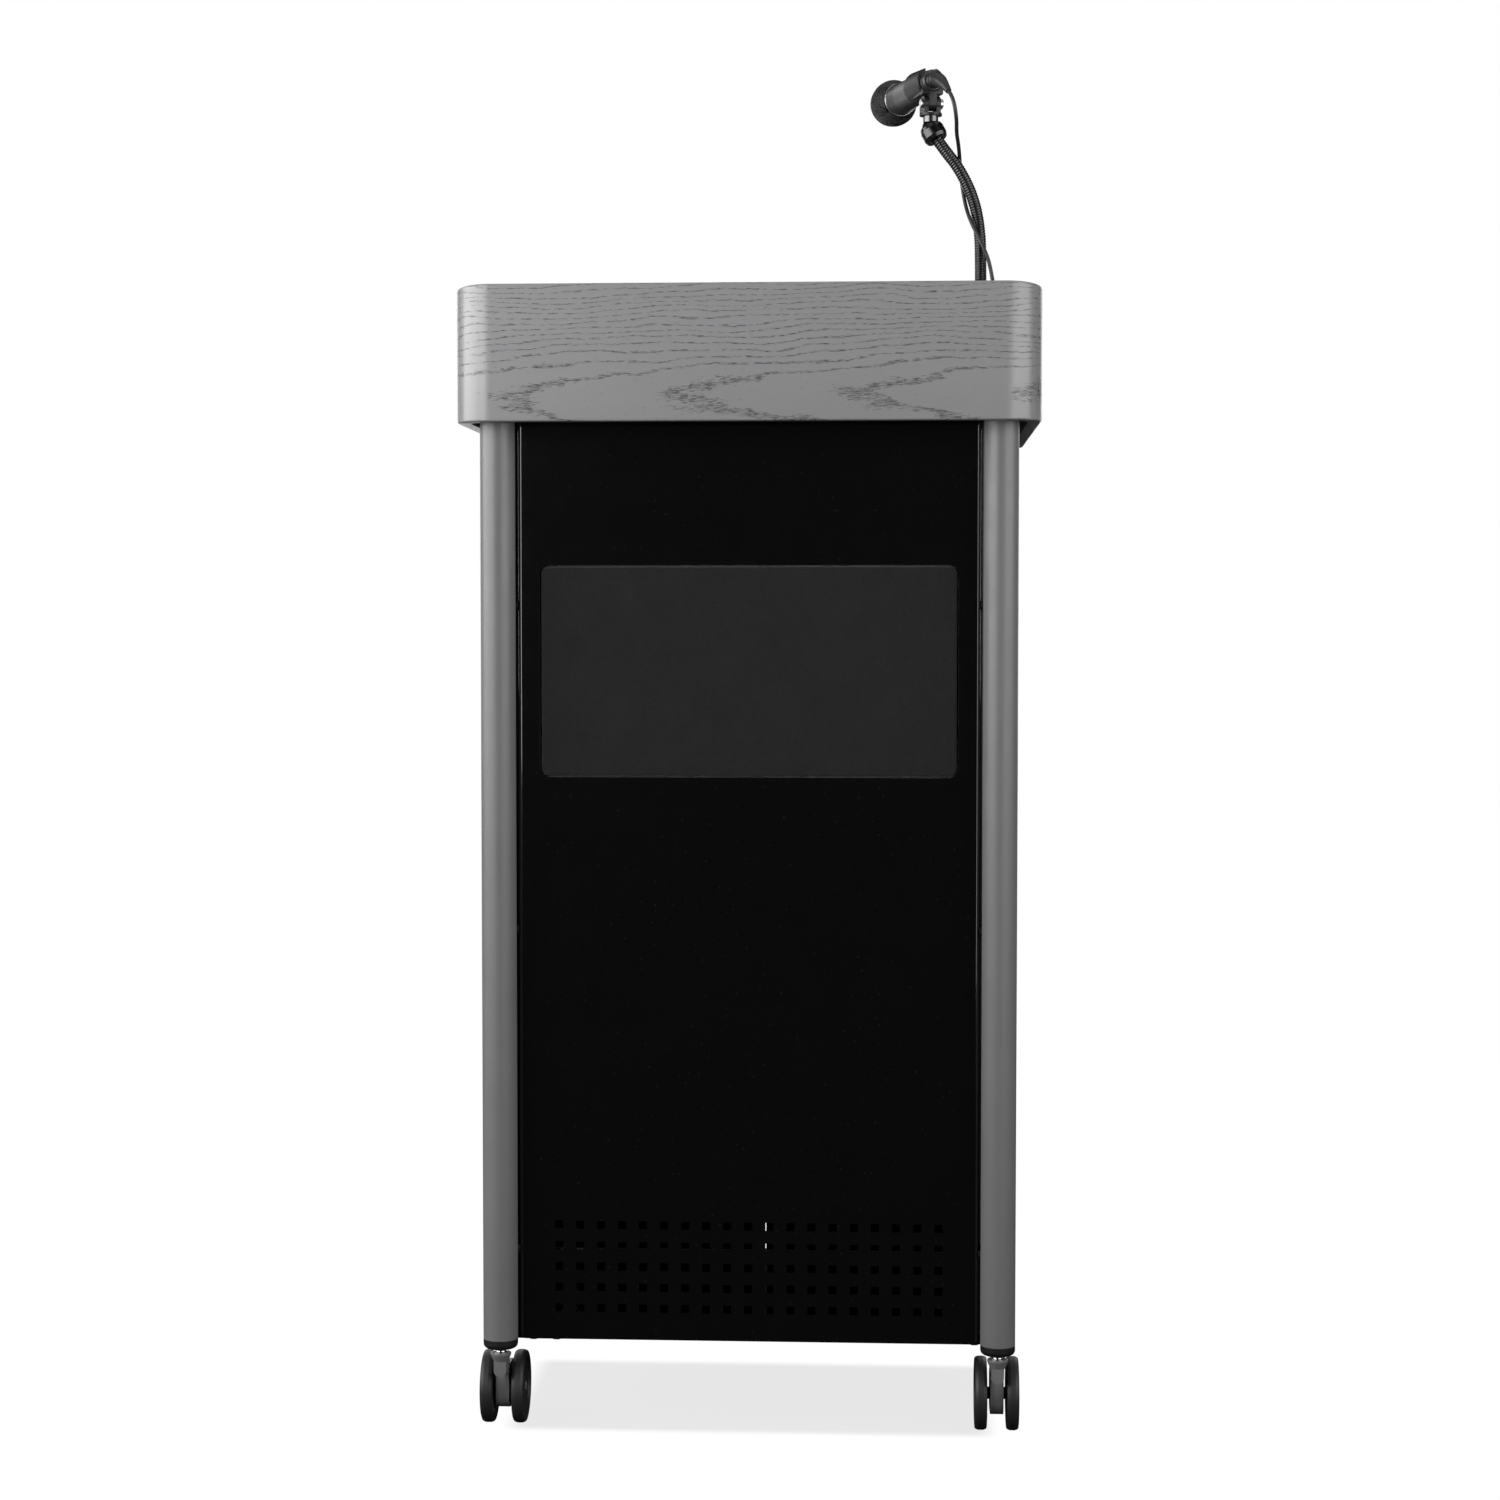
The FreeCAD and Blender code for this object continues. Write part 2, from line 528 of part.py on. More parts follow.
# ---------------------------------------------------------------- cabinet
def make_cabinet():
    half = value("dims.cabinet_width / 2")
    face, skin = value("dims.cabinet_front"), value("dims.sheet")
    flange, bend = value("dims.panel_flange"), value("dims.panel_bend")

    panel = new_body("front_panel")
    outline = sketch_on(panel, "XY_Plane", "dims.cabinet_base")
    rounded_outline(outline, [
        (-half, -face, bend), (half, -face, bend), (half, flange - face, 0),
        (half - skin, flange - face, 0), (half - skin, skin - face, bend - skin),
        (skin - half, skin - face, bend - skin), (skin - half, flange - face, 0),
        (-half, flange - face, 0)])
    pad(panel, outline, "dims.panel_top - dims.cabinet_base")
    opening = sketch_on(panel, "XZ_Plane")
    rectangle(opening, "dims.grille_width + 2 * dims.grille_gap",
              "dims.grille_height + 2 * dims.grille_gap", "dims.grille_corner", 0,
              "dims.grille_level")
    columns, rows = int(value("dims.vent_columns")), int(value("dims.vent_rows"))
    pitch_x, pitch_z = value("dims.vent_pitch_x"), value("dims.vent_pitch_z")
    for row in range(rows):
        for column in range(columns):
            rectangle(opening, "dims.vent_size", "dims.vent_size", 0,
                      (column - (columns - 1) / 2) * pitch_x,
                      value("dims.vent_low") + row * pitch_z)
    pocket(panel, opening, 300, reverse=True)
    # the two lower corners are rounded
    corners = sketch_on(panel, "XZ_Plane")
    radius, base = value("dims.panel_corner"), value("dims.cabinet_base")
    lean = radius * (1 - math.sqrt(0.5))
    for _, sign in SIDES:
        low, side_start = Vector(sign * (half - radius), base, 0), Vector(sign * half, base + radius, 0)
        outside = Vector(sign * (half + 1), base - 1, 0)
        beyond, beneath = Vector(outside.x, side_start.y, 0), Vector(low.x, outside.y, 0)
        corners.addGeometry(Part.Arc(low, Vector(sign * (half - lean), base + lean, 0), side_start))
        for start, end in ((side_start, beyond), (beyond, outside), (outside, beneath),
                           (beneath, low)):
            corners.addGeometry(Part.LineSegment(start, end))
    pocket(panel, corners, 300, reverse=True)
    node(panel)

    # side panels, each with a strip behind either leg that closes the gap beside it
    floor = "dims.cabinet_base + dims.floor_rise"
    height = f"dims.panel_top - ({floor})"
    x = "dims.cabinet_width / 2 - 2 * dims.sheet"
    reach = f"dims.strip_reach - ({x})"
    for side, sign in SIDES:
        name = f"side_panel_{side}"
        plane = block(name + "_sheet", "dims.sheet",
                      "dims.cabinet_rear + dims.cabinet_front - dims.panel_bend", height,
                      x if sign > 0 else f"-({x}) - dims.sheet",
                      "dims.panel_bend - dims.cabinet_front", floor)
        strips = [block(f"{name}_strip_{end}", reach, "dims.sheet",
                        "dims.panel_top - dims.strip_base",
                        x if sign > 0 else "-dims.strip_reach",
                        y, "dims.strip_base")
                  for end, y in (("front", "-dims.strip_level_y"),
                                 ("rear", "dims.strip_level_y - dims.sheet"))]
        node(fuse(name, plane, *strips))

    inner = "dims.cabinet_width - 4 * dims.sheet"
    for name, level, back in (("bottom_panel", floor, 8),
                              ("upper_shelf", "dims.upper_shelf_level", 7)):
        node(block(name, inner, f"dims.cabinet_rear + dims.cabinet_front - dims.plate + {back}",
                   "dims.plate", f"-({inner}) / 2", "dims.plate - dims.cabinet_front", level))

    deck = block("shelf_deck", inner, 374, "dims.sheet", f"-({inner}) / 2", -190,
                 "dims.cabinet_shelf_level")
    lip = block("shelf_lip", inner, "dims.sheet", 14, f"-({inner}) / 2", 183,
                "dims.cabinet_shelf_level - 14 + dims.sheet")
    node(fuse("cabinet_shelf", deck, lip))

    # round spacers bridge the gap to the legs, each with a screw from inside the cabinet
    spacers, screws = [], []
    screw = turned("screw_pattern", [(0, -1.4, 0), (2.6, -1.4, 1), (4.6, -0.5, 0.3), (4.6, 0, 0),
                                     (2, 0, 0), (2, 17, 0.6), (0, 17, 0)])
    for end, y_side, y, surface in (("front", -1, -204.5, half), ("rear", 1, 197, half - skin)):
        for side, sign in SIDES:
            for level in ("low", "middle", "high"):
                x = surface if sign > 0 else -surface - 12
                z = f"dims.spacer_{level}"
                name = f"{end}_{side}_{level}"
                bar = rod(f"spacer_bar_{name}", "dims.spacer_diameter / 2", 12, x, y, z,
                          along((1, 0, 0)))
                leg = rod(f"spacer_leg_{name}", "dims.leg_diameter / 2", 30,
                          f"{sign} * {LEG_X}", f"{y_side} * {LEG_Y}", z + " - 15")
                spacers.append(cut(f"spacer_{name}", bar, leg))
                seat = half - 2 * skin
                screws.append(copy_of(f"screw_{name}", screw, sign * seat, y, z,
                                      along((sign, 0, 0))))
    node(group("panel_spacers", *spacers))
    node(group("panel_screws", *screws))


# ---------------------------------------------------------------- rear doors
def make_doors():
    """Folded steel doors that turn on short pins at their outer edges."""
    pin_x, pin_y = value("dims.door_pin_x"), value("dims.door_pin_y")
    thick, skin, gap = value("dims.door_thickness"), value("dims.door_skin"), value("dims.door_gap")
    sill = value("dims.cabinet_base + dims.floor_rise + dims.plate")
    low = sill + gap
    high = value("dims.upper_shelf_level") - gap
    width = pin_x - gap / 2
    pins = []
    for side, sign in SIDES:
        name = f"door_{side}"
        leaf = new_body(name + "_leaf")
        outline = sketch_on(leaf, "XY_Plane", low)
        edge = thick / 2
        outer, inner = sign * (pin_x + edge), sign * gap / 2
        rounded_outline(outline, [
            (outer, pin_y - edge, edge - 0.01), (outer, pin_y + edge, edge - 0.01),
            (inner, pin_y + edge, 2), (inner, pin_y - edge, 0)])
        pad(leaf, outline, high - low)
        # the pan is open towards the cabinet, between solid edge rails
        pan = sketch_on(leaf, "XZ_Plane", -(pin_y - edge))
        rectangle(pan, width - 30, high - low - 40, 4, sign * (pin_x - 9 + gap / 2) / 2,
                  (high + low) / 2)
        pocket(leaf, pan, thick - skin)
        bores = []
        for end, z in (("low", low - 1), ("high", high - 14)):
            bores.append(rod(f"{name}_bore_{end}", "dims.door_pin_diameter / 2 + dims.running_gap",
                             15, sign * pin_x, pin_y, z))
        node(cut(name, leaf, group(name + "_bores", *bores)))

        post_x, post_y = sign * (gap / 2 + 24), pin_y + edge
        posts = [rod(f"{name}_post_{n}", 4, 22, post_x, post_y, z, along((0, 1, 0)))
                 for n, z in enumerate((552, 648))]
        grip = rod(f"{name}_grip", 5, 120, post_x, post_y + 24, 540)
        node(fuse(f"door_pull_{side}", *posts, grip))
        for end, z in (("low", sill), ("high", value("dims.upper_shelf_level") - 13)):
            pins.append(rod(f"door_pin_{side}_{end}", "dims.door_pin_diameter / 2", 13,
                            sign * pin_x, pin_y, z))
    node(group("door_pins", *pins))


# ---------------------------------------------------------------- sound system
def make_speakers():
    level, front = value("dims.grille_level"), value("dims.cabinet_front")
    grille = new_body("speaker_grille")
    outline = sketch_on(grille, "XZ_Plane", "dims.cabinet_front + dims.grille_proud")
    rectangle(outline, "dims.grille_width", "dims.grille_height", "dims.grille_corner - 1", 0,
              "dims.grille_level")
    pad(grille, outline, "dims.grille_thickness", reverse=True)
    node(grille)

    wide, tall = value("dims.box_width"), value("dims.box_height")
    deep, wall = value("dims.box_depth"), value("dims.box_wall")
    box_front, baffle = -206.0, -193.0
    low = level - tall / 2
    outer = block("enclosure_outer", wide, deep, tall, -wide / 2, box_front, low)
    room = block("enclosure_room", wide - 2 * wall, deep - wall - (baffle + wall - box_front),
                 tall - 2 * wall, wall - wide / 2, baffle + wall, low + wall)
    rebate = 6
    mouth = block("enclosure_mouth", wide - 2 * (wall - rebate), baffle - box_front,
                  tall - 2 * (wall - rebate), wall - rebate - wide / 2, box_front,
                  low + wall - rebate)
    flange = value("dims.driver_diameter / 2")
    cutters = [room, mouth]
    baskets, cones = [], []
    basket = turned("basket_pattern", [
        (flange - 13, 0, 0), (flange, 0, 0), (flange, 3, 1), (flange - 13, 3, 0),
        (flange - 14.5, 0.5, 0), (36, -24, 0), (36, -44, 2), (0, -44, 0), (0, -40, 0),
        (20, -40, 0), (20, -26, 0), (34, -22.5, 0), (flange - 16, -2, 0)])
    cone = turned("cone_pattern", [
        (0, -8, 0), (14, -14, 0), (18, -17, 0), (flange - 21, 0.5, 0), (flange - 18, 2.4, 0),
        (flange - 15, 0.9, 0), (flange - 14.2, 0.9, 0), (flange - 14.2, 2, 0),
        (flange - 15, 2, 0), (flange - 18, 3.4, 0), (flange - 21.5, 1.7, 0), (18, -15.6, 0),
        (14, -12.6, 0), (0, -6.6, 0)])
    for side, sign in SIDES:
        x = sign * value("dims.driver_spacing / 2")
        cutters.append(rod(f"baffle_hole_{side}", flange - 12.9, 40, x, baffle - 5, level,
                           along((0, 1, 0))))
        facing = along((0, -1, 0))
        baskets.append(copy_of(f"basket_{side}", basket, x, baffle, level, facing))
        cones.append(copy_of(f"cone_{side}", cone, x, baffle, level, facing))
    node(cut("speaker_enclosure", outer, group("enclosure_cuts", *cutters)))
    node(group("speaker_baskets", *baskets))
    node(group("speaker_cones", *cones))


def make_amplifier():
    x, rear = value("dims.amplifier_x"), value("dims.amplifier_rear")
    wide, deep = value("dims.amplifier_width"), value("dims.amplifier_depth")
    tall = value("dims.amplifier_height")
    floor = value("dims.upper_shelf_level + dims.plate")
    outer = block("chassis_outer", wide, deep, tall, x, rear - deep, floor)
    room = block("chassis_room", wide - 3, deep - 1.5, tall - 3, x + 1.5, rear - deep + 1.5,
                 floor + 1.5)
    node(cut("amplifier_chassis", outer, room))

    knob_z, low_z = floor + 82, floor + 34
    knob_xs = {"microphone_volume": x + 40, "line_volume": x + 86}
    switch_x = x + 138
    jack_xs = (x + 24, x + 52, x + 80)
    inlet_x = x + 132
    plate = block("control_plate", wide, 2, tall, x, rear, floor)
    back = along((0, 1, 0))
    cuts = [rod(f"{name}_hole", 3.05, 6, kx, rear - 2, knob_z, back)
            for name, kx in knob_xs.items()]
    cuts += [rod(f"jack_hole_{n}", 5, 6, jx, rear - 2, low_z, back)
             for n, jx in enumerate(jack_xs)]
    cuts.append(block("switch_hole", 13.6, 6, 20.6, switch_x - 6.8, rear - 2, knob_z - 10.3))
    cuts.append(block("inlet_hole", 28, 6, 20.4, inlet_x - 14, rear - 2, low_z - 10.2))
    node(cut("control_panel", plate, group("control_cuts", *cuts)))

    radius, length = value("dims.knob_diameter / 2"), value("dims.knob_length")
    shaft = value("dims.shaft_diameter / 2")
    knob = turned("knob_pattern", [
        (0, -12, 0), (shaft, -12, 0.5), (shaft, 2.6, 0), (radius + 1, 2.6, 0.5),
        (radius + 1, 5, 0.5), (radius, 5, 0), (radius - 0.8, length + 2.6, 1.2),
        (0, length + 2.6, 0)])
    mark = block("knob_mark", 1.4, radius, 3, -0.7, 2, length + 1.9)
    marked = cut("knob_marked", knob, mark)
    for name, kx in knob_xs.items():
        node(copy_of(name + "_knob", marked, kx, rear, knob_z, back.multiply(Rotation(
            Vector(0, 0, 1), 45))))

    jack = turned("jack_pattern", [
        (3.2, -9, 0), (5, -9, 0.5), (5, 2, 0), (7, 2, 0), (7, 4.5, 0.6), (5, 4.5, 0),
        (5, 6, 0.5), (3.2, 6, 0)])
    node(group("panel_jacks", *[copy_of(f"jack_{n}", jack, jx, rear, low_z, back)
                                for n, jx in enumerate(jack_xs)]))

    shell = block("inlet_shell", 28, 22, 20.4, inlet_x - 14, rear - 20, low_z - 10.2)
    rim = block("inlet_rim", 32, 2, 25, inlet_x - 16, rear + 2, low_z - 12.5)
    cavity = block("inlet_cavity", 24, 16, 16.4, inlet_x - 12, rear - 12, low_z - 8.2)
    prongs = [block(f"inlet_prong_{n}", 2, 12, 4, inlet_x + dx - 1, rear - 12, low_z + dz - 2)
              for n, (dx, dz) in enumerate(((-7, -2.5), (7, -2.5), (0, 3)))]
    socket = cut("inlet_socket", fuse("inlet_case", shell, rim), cavity)
    node(fuse("power_inlet", socket, *prongs))

    # rocker: turns about an axis along X through its middle
    rocker = new_body("power_switch")
    outline = sketch_on(rocker, "YZ_Plane", switch_x)
    rounded_outline(outline, [
        (rear - 7, knob_z - 6, 3), (rear + 1.5, knob_z - 9.6, 1), (rear + 6, knob_z - 9.2, 1),
        (rear + 3.4, knob_z, 12), (rear + 4.6, knob_z + 9.2, 1), (rear + 1.5, knob_z + 9.6, 1),
        (rear - 7, knob_z + 6, 3)])
    pad(rocker, outline, 13, both=True)
    node(rocker)


# ---------------------------------------------------------------- gooseneck, microphone, cable
def make_gooseneck():
    base = turned("gooseneck_base", [
        (0, -42, 0), (6.5, -42, 0), (6.5, 0, 0), (12.5, 0, 0), (12.5, 3, 1), (9.5, 4, 0),
        (9.5, 14, 1.5), (0, 14, 0)])
    spot = board_point(value("dims.gooseneck_x"), value("dims.gooseneck_y"))
    base.Placement = Placement(spot, along(BOARD_NORMAL))
    node(base)

    start = spot + BOARD_NORMAL * 14
    collar_low, collar_high = Vector(192.5, -173.6, 1337.4), Vector(184.4, -170, 1352.6)
    route_points = [start, Vector(237, -179.5, 1216), Vector(236.2, -177.2, 1242),
                    Vector(232, -176.2, 1268), Vector(224.4, -176, 1289.5),
                    Vector(212.5, -176, 1311), Vector(201.5, -175.6, 1324.5), collar_low]
    node(tube_along("gooseneck", route_points, value("dims.gooseneck_diameter")))

    axis = collar_high - collar_low
    sleeve = turned("collar_sleeve", [
        (0, 0, 0), (11, 0, 1.5), (12.6, 4, 1), (12.6, 12, 1), (11, axis.Length, 3),
        (0, axis.Length, 0)])
    sleeve.Placement = Placement(collar_low, along(axis))
    top_ball = doc.addObject("Part::Sphere", "collar_ball")
    top_ball.Radius = 9
    place(top_ball, "dims.clip_x", "dims.clip_y", 1350)
    flat = block("collar_flat", 40, 40, 20, 165, -190, 1356)
    bored = rod("collar_bore", "dims.stud_diameter / 2 - 1.5", 30, "dims.clip_x", "dims.clip_y",
                1350)
    node(cut("gooseneck_collar", fuse("collar_solid", sleeve, top_ball),
             group("collar_cuts", flat, bored)))

    stud_low, plate_low = 1350, 1362.5
    stud = turned("clip_stud", [
        (0, 0), ("dims.stud_diameter / 2 - 1.5", 0), ("dims.stud_diameter / 2 - 1.5", 6),
        ("dims.stud_diameter / 2", 6), ("dims.stud_diameter / 2", plate_low - stud_low),
        (0, plate_low - stud_low)])
    place(stud, "dims.clip_x", "dims.clip_y", stud_low)
    node(stud)


def microphone_frame():
    """Placement whose +Z runs along the microphone from its tail to its ball."""
    yaw = math.radians(value("dims.microphone_yaw"))
    forward = Vector(-math.sin(yaw), math.cos(yaw), 0)
    across = Vector(math.cos(yaw), math.sin(yaw), 0)
    tail = Vector(value("dims.clip_x"), value("dims.clip_y"), value("dims.microphone_level"))
    return tail - forward * 6, forward, across


def make_microphone():
    tail, forward, across = microphone_frame()
    turn = along(forward)
    clip_x, clip_y, hinge = (value(f"dims.{n}") for n in ("clip_x", "clip_y", "hinge_level"))
    centre = Vector(clip_x, clip_y, hinge)

    body = turned("mic_body", [
        (0, -3, 0), (10.2, -3, 0), (11.4, -1.5, 1), (11.4, 2.5, 1), (10.6, 3.5, 0),
        (12.2, 8, 0), (14.6, 48, 20), (15.6, 88, 20), (17, 106, 3), (17, 108, 0),
        (0, 108, 0)])
    ring = turned("mic_ring", [
        (0, 108, 0), (17.6, 108, 0.8), (17.6, 111.5, 0.8), (0, 111.5, 0)])
    ball = value("dims.ball_diameter / 2")
    grille = turned("mic_grille", [
        (0, 111.5, 0), (16.8, 111.5, 0), (ball - 2.5, 121, 8), (ball, 130, 4), (ball, 137, 4),
        (ball - 1.5, 146, 10), (13, 158, 12), (0, 160.5, 0)])
    for piece in (body, ring, grille):
        piece.Placement = Placement(tail, turn)
        node(piece)

    # connector with a strain relief that droops towards the cable
    down = Vector(0, 0, -1)
    stations = []
    for step, radius in enumerate((8, 8, 7.6, 6.2, 4.6, 3.2)):
        share = step / 5
        reach = 34 * share
        sag = 16 * share ** 2.2
        centre_point = tail - forward * (3 + reach) + down * sag + across * (4.5 * share ** 2)
        stations.append((centre_point, radius))
    sections = []
    for index, (point, radius) in enumerate(stations):
        before = stations[max(index - 1, 0)][0]
        after = stations[min(index + 1, 5)][0]
        tangent = (after - before).normalize() if index else forward * -1
        sections.append(Part.Wire(Part.makeCircle(radius, point, tangent)))
    plug = doc.addObject("Part::Feature", "mic_plug")
    plug.Shape = Part.makeLoft(sections, True)
    node(plug)

    # sleeve around the body, slit along its top, on a neck that ends in the hinge tongue
    sleeve_outer = turned("sleeve_outer", [
        (0, 5, 0), (15, 5, 2), (17.4, 47, 2), (0, 47, 0)])
    sleeve_outer.Placement = Placement(tail, turn)
    hinge_turn = along(across)
    tongue = rod("clip_tongue", 7.6, 8, *(centre - across * 4), hinge_turn)
    neck = block("clip_neck", 8, 15.2, 14, *(centre - across * 4 - forward * 7.6),
                 Rotation(Vector(0, 0, 1), value("dims.microphone_yaw")))
    saddle = block("clip_saddle", 22, 34, 5, *(centre - across * 11 - forward * 7
                                               + Vector(0, 0, 9)),
                   Rotation(Vector(0, 0, 1), value("dims.microphone_yaw")))
    fin = block("clip_fin", 5, 10, 22, *(centre - across * 2.5 + forward * 20 - Vector(0, 0, 8)),
                Rotation(Vector(0, 0, 1), value("dims.microphone_yaw")))
    slit = block("sleeve_slit", 12, 60, 20, *(tail - across * 6 + Vector(0, 0, 9)),
                 Rotation(Vector(0, 0, 1), value("dims.microphone_yaw")))
    doc.recompute()
    mic_solid = copy_of("mic_body_tool", body, *body.Placement.Base, body.Placement.Rotation)
    screw_way = rod("clip_screw_way", 2.5 + value("dims.running_gap"), 60,
                    *(centre - across * 30), hinge_turn)
    node(cut("mic_clip", fuse("clip_solid", sleeve_outer, tongue, neck, saddle, fin),
             group("clip_cuts", mic_solid, slit, screw_way)))

    # fixed half of the hinge
    plate = rod("hinge_plate", 11.6, 2.5, clip_x, clip_y, hinge - 12.5)
    ears = []
    for name, shift in (("left", -8.8), ("right", 4.3)):
        ears.append(rod(f"hinge_ear_{name}", 7.6, 4.5, *(centre + across * shift), hinge_turn))
        ears.append(block(f"hinge_cheek_{name}", 4.5, 13, 10.2,
                          *(centre + across * shift - forward * 6.5 - Vector(0, 0, 10.2)),
                          Rotation(Vector(0, 0, 1), value("dims.microphone_yaw"))))
    ear_way = rod("ear_way", 2.5, 60, *(centre - across * 30), hinge_turn)
    node(cut("clip_base", fuse("clip_base_solid", plate, *ears), ear_way))
    bolt = turned("clip_screw", [
        (0, -11.5, 0), (4.5, -11.5, 1), (4.5, -8.8, 0), (2.5, -8.8, 0), (2.5, 8.8, 0),
        (5.2, 8.8, 0), (5.2, 12.6, 1), (0, 12.6, 0)])
    bolt.Placement = Placement(centre, hinge_turn)
    node(bolt)
    end, before = stations[-1][0], stations[-2][0]
    clear = 0.6
    return end + (end - before).normalize() * clear


def make_cable(cable_start):
    grommet = turned("cable_grommet", [
        (2, -18, 0), (4.5, -18, 0.5), (4.5, 0, 0), (6, 0, 0), (6, 2, 1), (3, 4, 0.5),
        (2, 4, 0)])
    foot = board_point(value("dims.grommet_x"), value("dims.grommet_y"))
    grommet.Placement = Placement(foot, along(BOARD_NORMAL))
    node(grommet)
    # from the plug down to the desk: past the gooseneck's back, then round to its front
    points = [cable_start, Vector(206, -215.5, 1375.4), Vector(209.2, -218, 1364.5),
              Vector(211.2, -213, 1350.5), Vector(211.4, -197.5, 1340), Vector(214, -181, 1330),
              Vector(215.6, -166.4, 1316), Vector(217, -165.2, 1300), Vector(219, -168, 1284),
              Vector(222, -173.6, 1268), Vector(226, -184.6, 1254),
              Vector(232.6, -187.6, 1240), Vector(238.8, -189.4, 1227),
              Vector(244.2, -190.2, 1214.5),
              Vector(247.4, -189.4, 1201), Vector(249.4, -192, 1188),
              board_point(value("dims.grommet_x"), value("dims.grommet_y"), 15),
              board_point(value("dims.grommet_x"), value("dims.grommet_y"), 4)]
    node(tube_along("mic_cable", points, value("dims.cable_diameter")))


make_desk()
make_legs()
make_casters()
make_cabinet()
make_doors()
make_speakers()
make_amplifier()
make_gooseneck()
make_cable(make_microphone())

# ---------------------------------------------------------------- checks and export
doc.recompute()
for thing in doc.Objects:
    if "Invalid" in thing.State or "Error" in thing.State:
        raise RuntimeError(f"{thing.Name} failed: {thing.State}")
for piece in nodes:
    if piece.Shape.isNull() or not piece.Shape.isValid():
        raise RuntimeError(f"{piece.Label} has no valid shape")
for piece in nodes:
    piece.Shape.exportStep(f"parts/{piece.Label}.step")
print(len(nodes), "nodes")
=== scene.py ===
# Looks of the sound lectern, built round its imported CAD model. Metres, +Z up, origin on the floor
# under the middle of the desk, the audience on the -Y side and the speaker on the +Y side.
import math

import bmesh
import bpy
import numpy as np
from mathutils import Matrix, Vector


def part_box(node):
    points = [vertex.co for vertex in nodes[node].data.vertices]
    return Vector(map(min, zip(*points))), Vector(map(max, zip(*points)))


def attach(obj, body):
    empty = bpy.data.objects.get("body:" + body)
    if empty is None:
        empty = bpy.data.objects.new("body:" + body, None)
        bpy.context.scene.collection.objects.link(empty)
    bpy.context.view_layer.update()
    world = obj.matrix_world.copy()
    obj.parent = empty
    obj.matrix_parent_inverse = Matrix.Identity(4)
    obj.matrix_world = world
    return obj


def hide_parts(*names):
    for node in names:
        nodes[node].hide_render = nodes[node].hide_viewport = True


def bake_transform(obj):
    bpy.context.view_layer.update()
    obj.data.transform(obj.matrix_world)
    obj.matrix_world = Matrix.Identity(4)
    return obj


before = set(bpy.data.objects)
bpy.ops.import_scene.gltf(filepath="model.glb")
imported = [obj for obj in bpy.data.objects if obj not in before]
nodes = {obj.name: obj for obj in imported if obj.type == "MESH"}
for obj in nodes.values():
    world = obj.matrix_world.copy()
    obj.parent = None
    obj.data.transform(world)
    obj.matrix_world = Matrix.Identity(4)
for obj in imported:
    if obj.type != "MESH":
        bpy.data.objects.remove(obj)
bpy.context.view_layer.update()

MM = 0.001
ON_AXIS = 1e-6      # smallest radius of a ring, where an outline meets its axis
SIDES = (("left", -1), ("right", 1))
ENDS = ("front", "rear")
CASTERS = [f"caster_{end}_{side}" for end in ENDS for side, _ in SIDES]
LEGS = [f"leg_{end}_{side}" for end in ENDS for side, _ in SIDES]
PEDALS = [f"brake_pedal_{side}" for side, _ in SIDES]


# ---------------------------------------------------------------- camera
def make_camera():
    """Camera three metres in front, a little to the right of the middle, looking slightly down."""
    data = bpy.data.cameras.new("camera")
    data.sensor_width = 36
    data.lens = 69.28
    data.shift_x, data.shift_y = 0.0131, 0.0045
    data.clip_end = 50
    camera = bpy.data.objects.new("camera", data)
    bpy.context.scene.collection.objects.link(camera)
    camera.location = (0.151, -3.171, 0.845)
    camera.rotation_euler = (math.radians(90 - 2.707), 0, math.radians(3.276))
    bpy.context.scene.camera = camera


# ---------------------------------------------------------------- mesh helpers
def shown(name, mesh, body, slot, *replaced):
    """Puts a mesh in the scene as a piece that rides on a body and may stand for CAD nodes."""
    piece = bpy.data.objects.new(name, mesh)
    bpy.context.scene.collection.objects.link(piece)
    if body:
        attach(piece, body)
    if replaced:
        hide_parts(*replaced)
    return piece


def mesh_of(name, points, faces, sharp=35, grain=None):
    """Mesh with smooth shading up to an edge angle in degrees. Where given, grain holds each
    point's place (along, across) on the flat veneer, in metres."""
    mesh = bpy.data.meshes.new(name)
    mesh.from_pydata([tuple(point) for point in points], [], faces)
    if grain:
        layer = mesh.uv_layers.new(name="grain")
        for loop in mesh.loops:
            layer.data[loop.index].uv = grain[loop.vertex_index]
    bm = bmesh.new()
    bm.from_mesh(mesh)
    bmesh.ops.remove_doubles(bm, verts=bm.verts, dist=1e-7)
    bmesh.ops.recalc_face_normals(bm, faces=bm.faces)
    bm.to_mesh(mesh)
    bm.free()
    mesh.shade_smooth()
    mesh.set_sharp_from_angle(angle=math.radians(sharp))
    return mesh


def eased(corners, closed=False, steps=5):
    """Outline through corners (a, b, radius), each rounded with an arc where its radius isn't 0."""
    outline = []
    count = len(corners)
    for index, (a, b, radius) in enumerate(corners):
        here = Vector((a, b))
        if not radius or (not closed and index in (0, count - 1)):
            outline.append(here)
            continue
        before = Vector(corners[index - 1][:2]) - here
        after = Vector(corners[(index + 1) % count][:2]) - here
        half = before.angle(after) / 2
        # an arc takes up less than half of either edge that it joins
        reach = min(radius / math.tan(half), before.length * 0.49, after.length * 0.49)
        radius = reach * math.tan(half)
        middle = (before.normalized() + after.normalized()).normalized()
        centre = here + middle * (radius / math.sin(half))
        start = here + before.normalized() * reach - centre
        end = here + after.normalized() * reach - centre
        turn = start.angle_signed(end)
        for step in range(steps + 1):
            share = -turn * step / steps
            outline.append(centre + Vector((
                start.x * math.cos(share) - start.y * math.sin(share),
                start.x * math.sin(share) + start.y * math.cos(share))))
    return outline


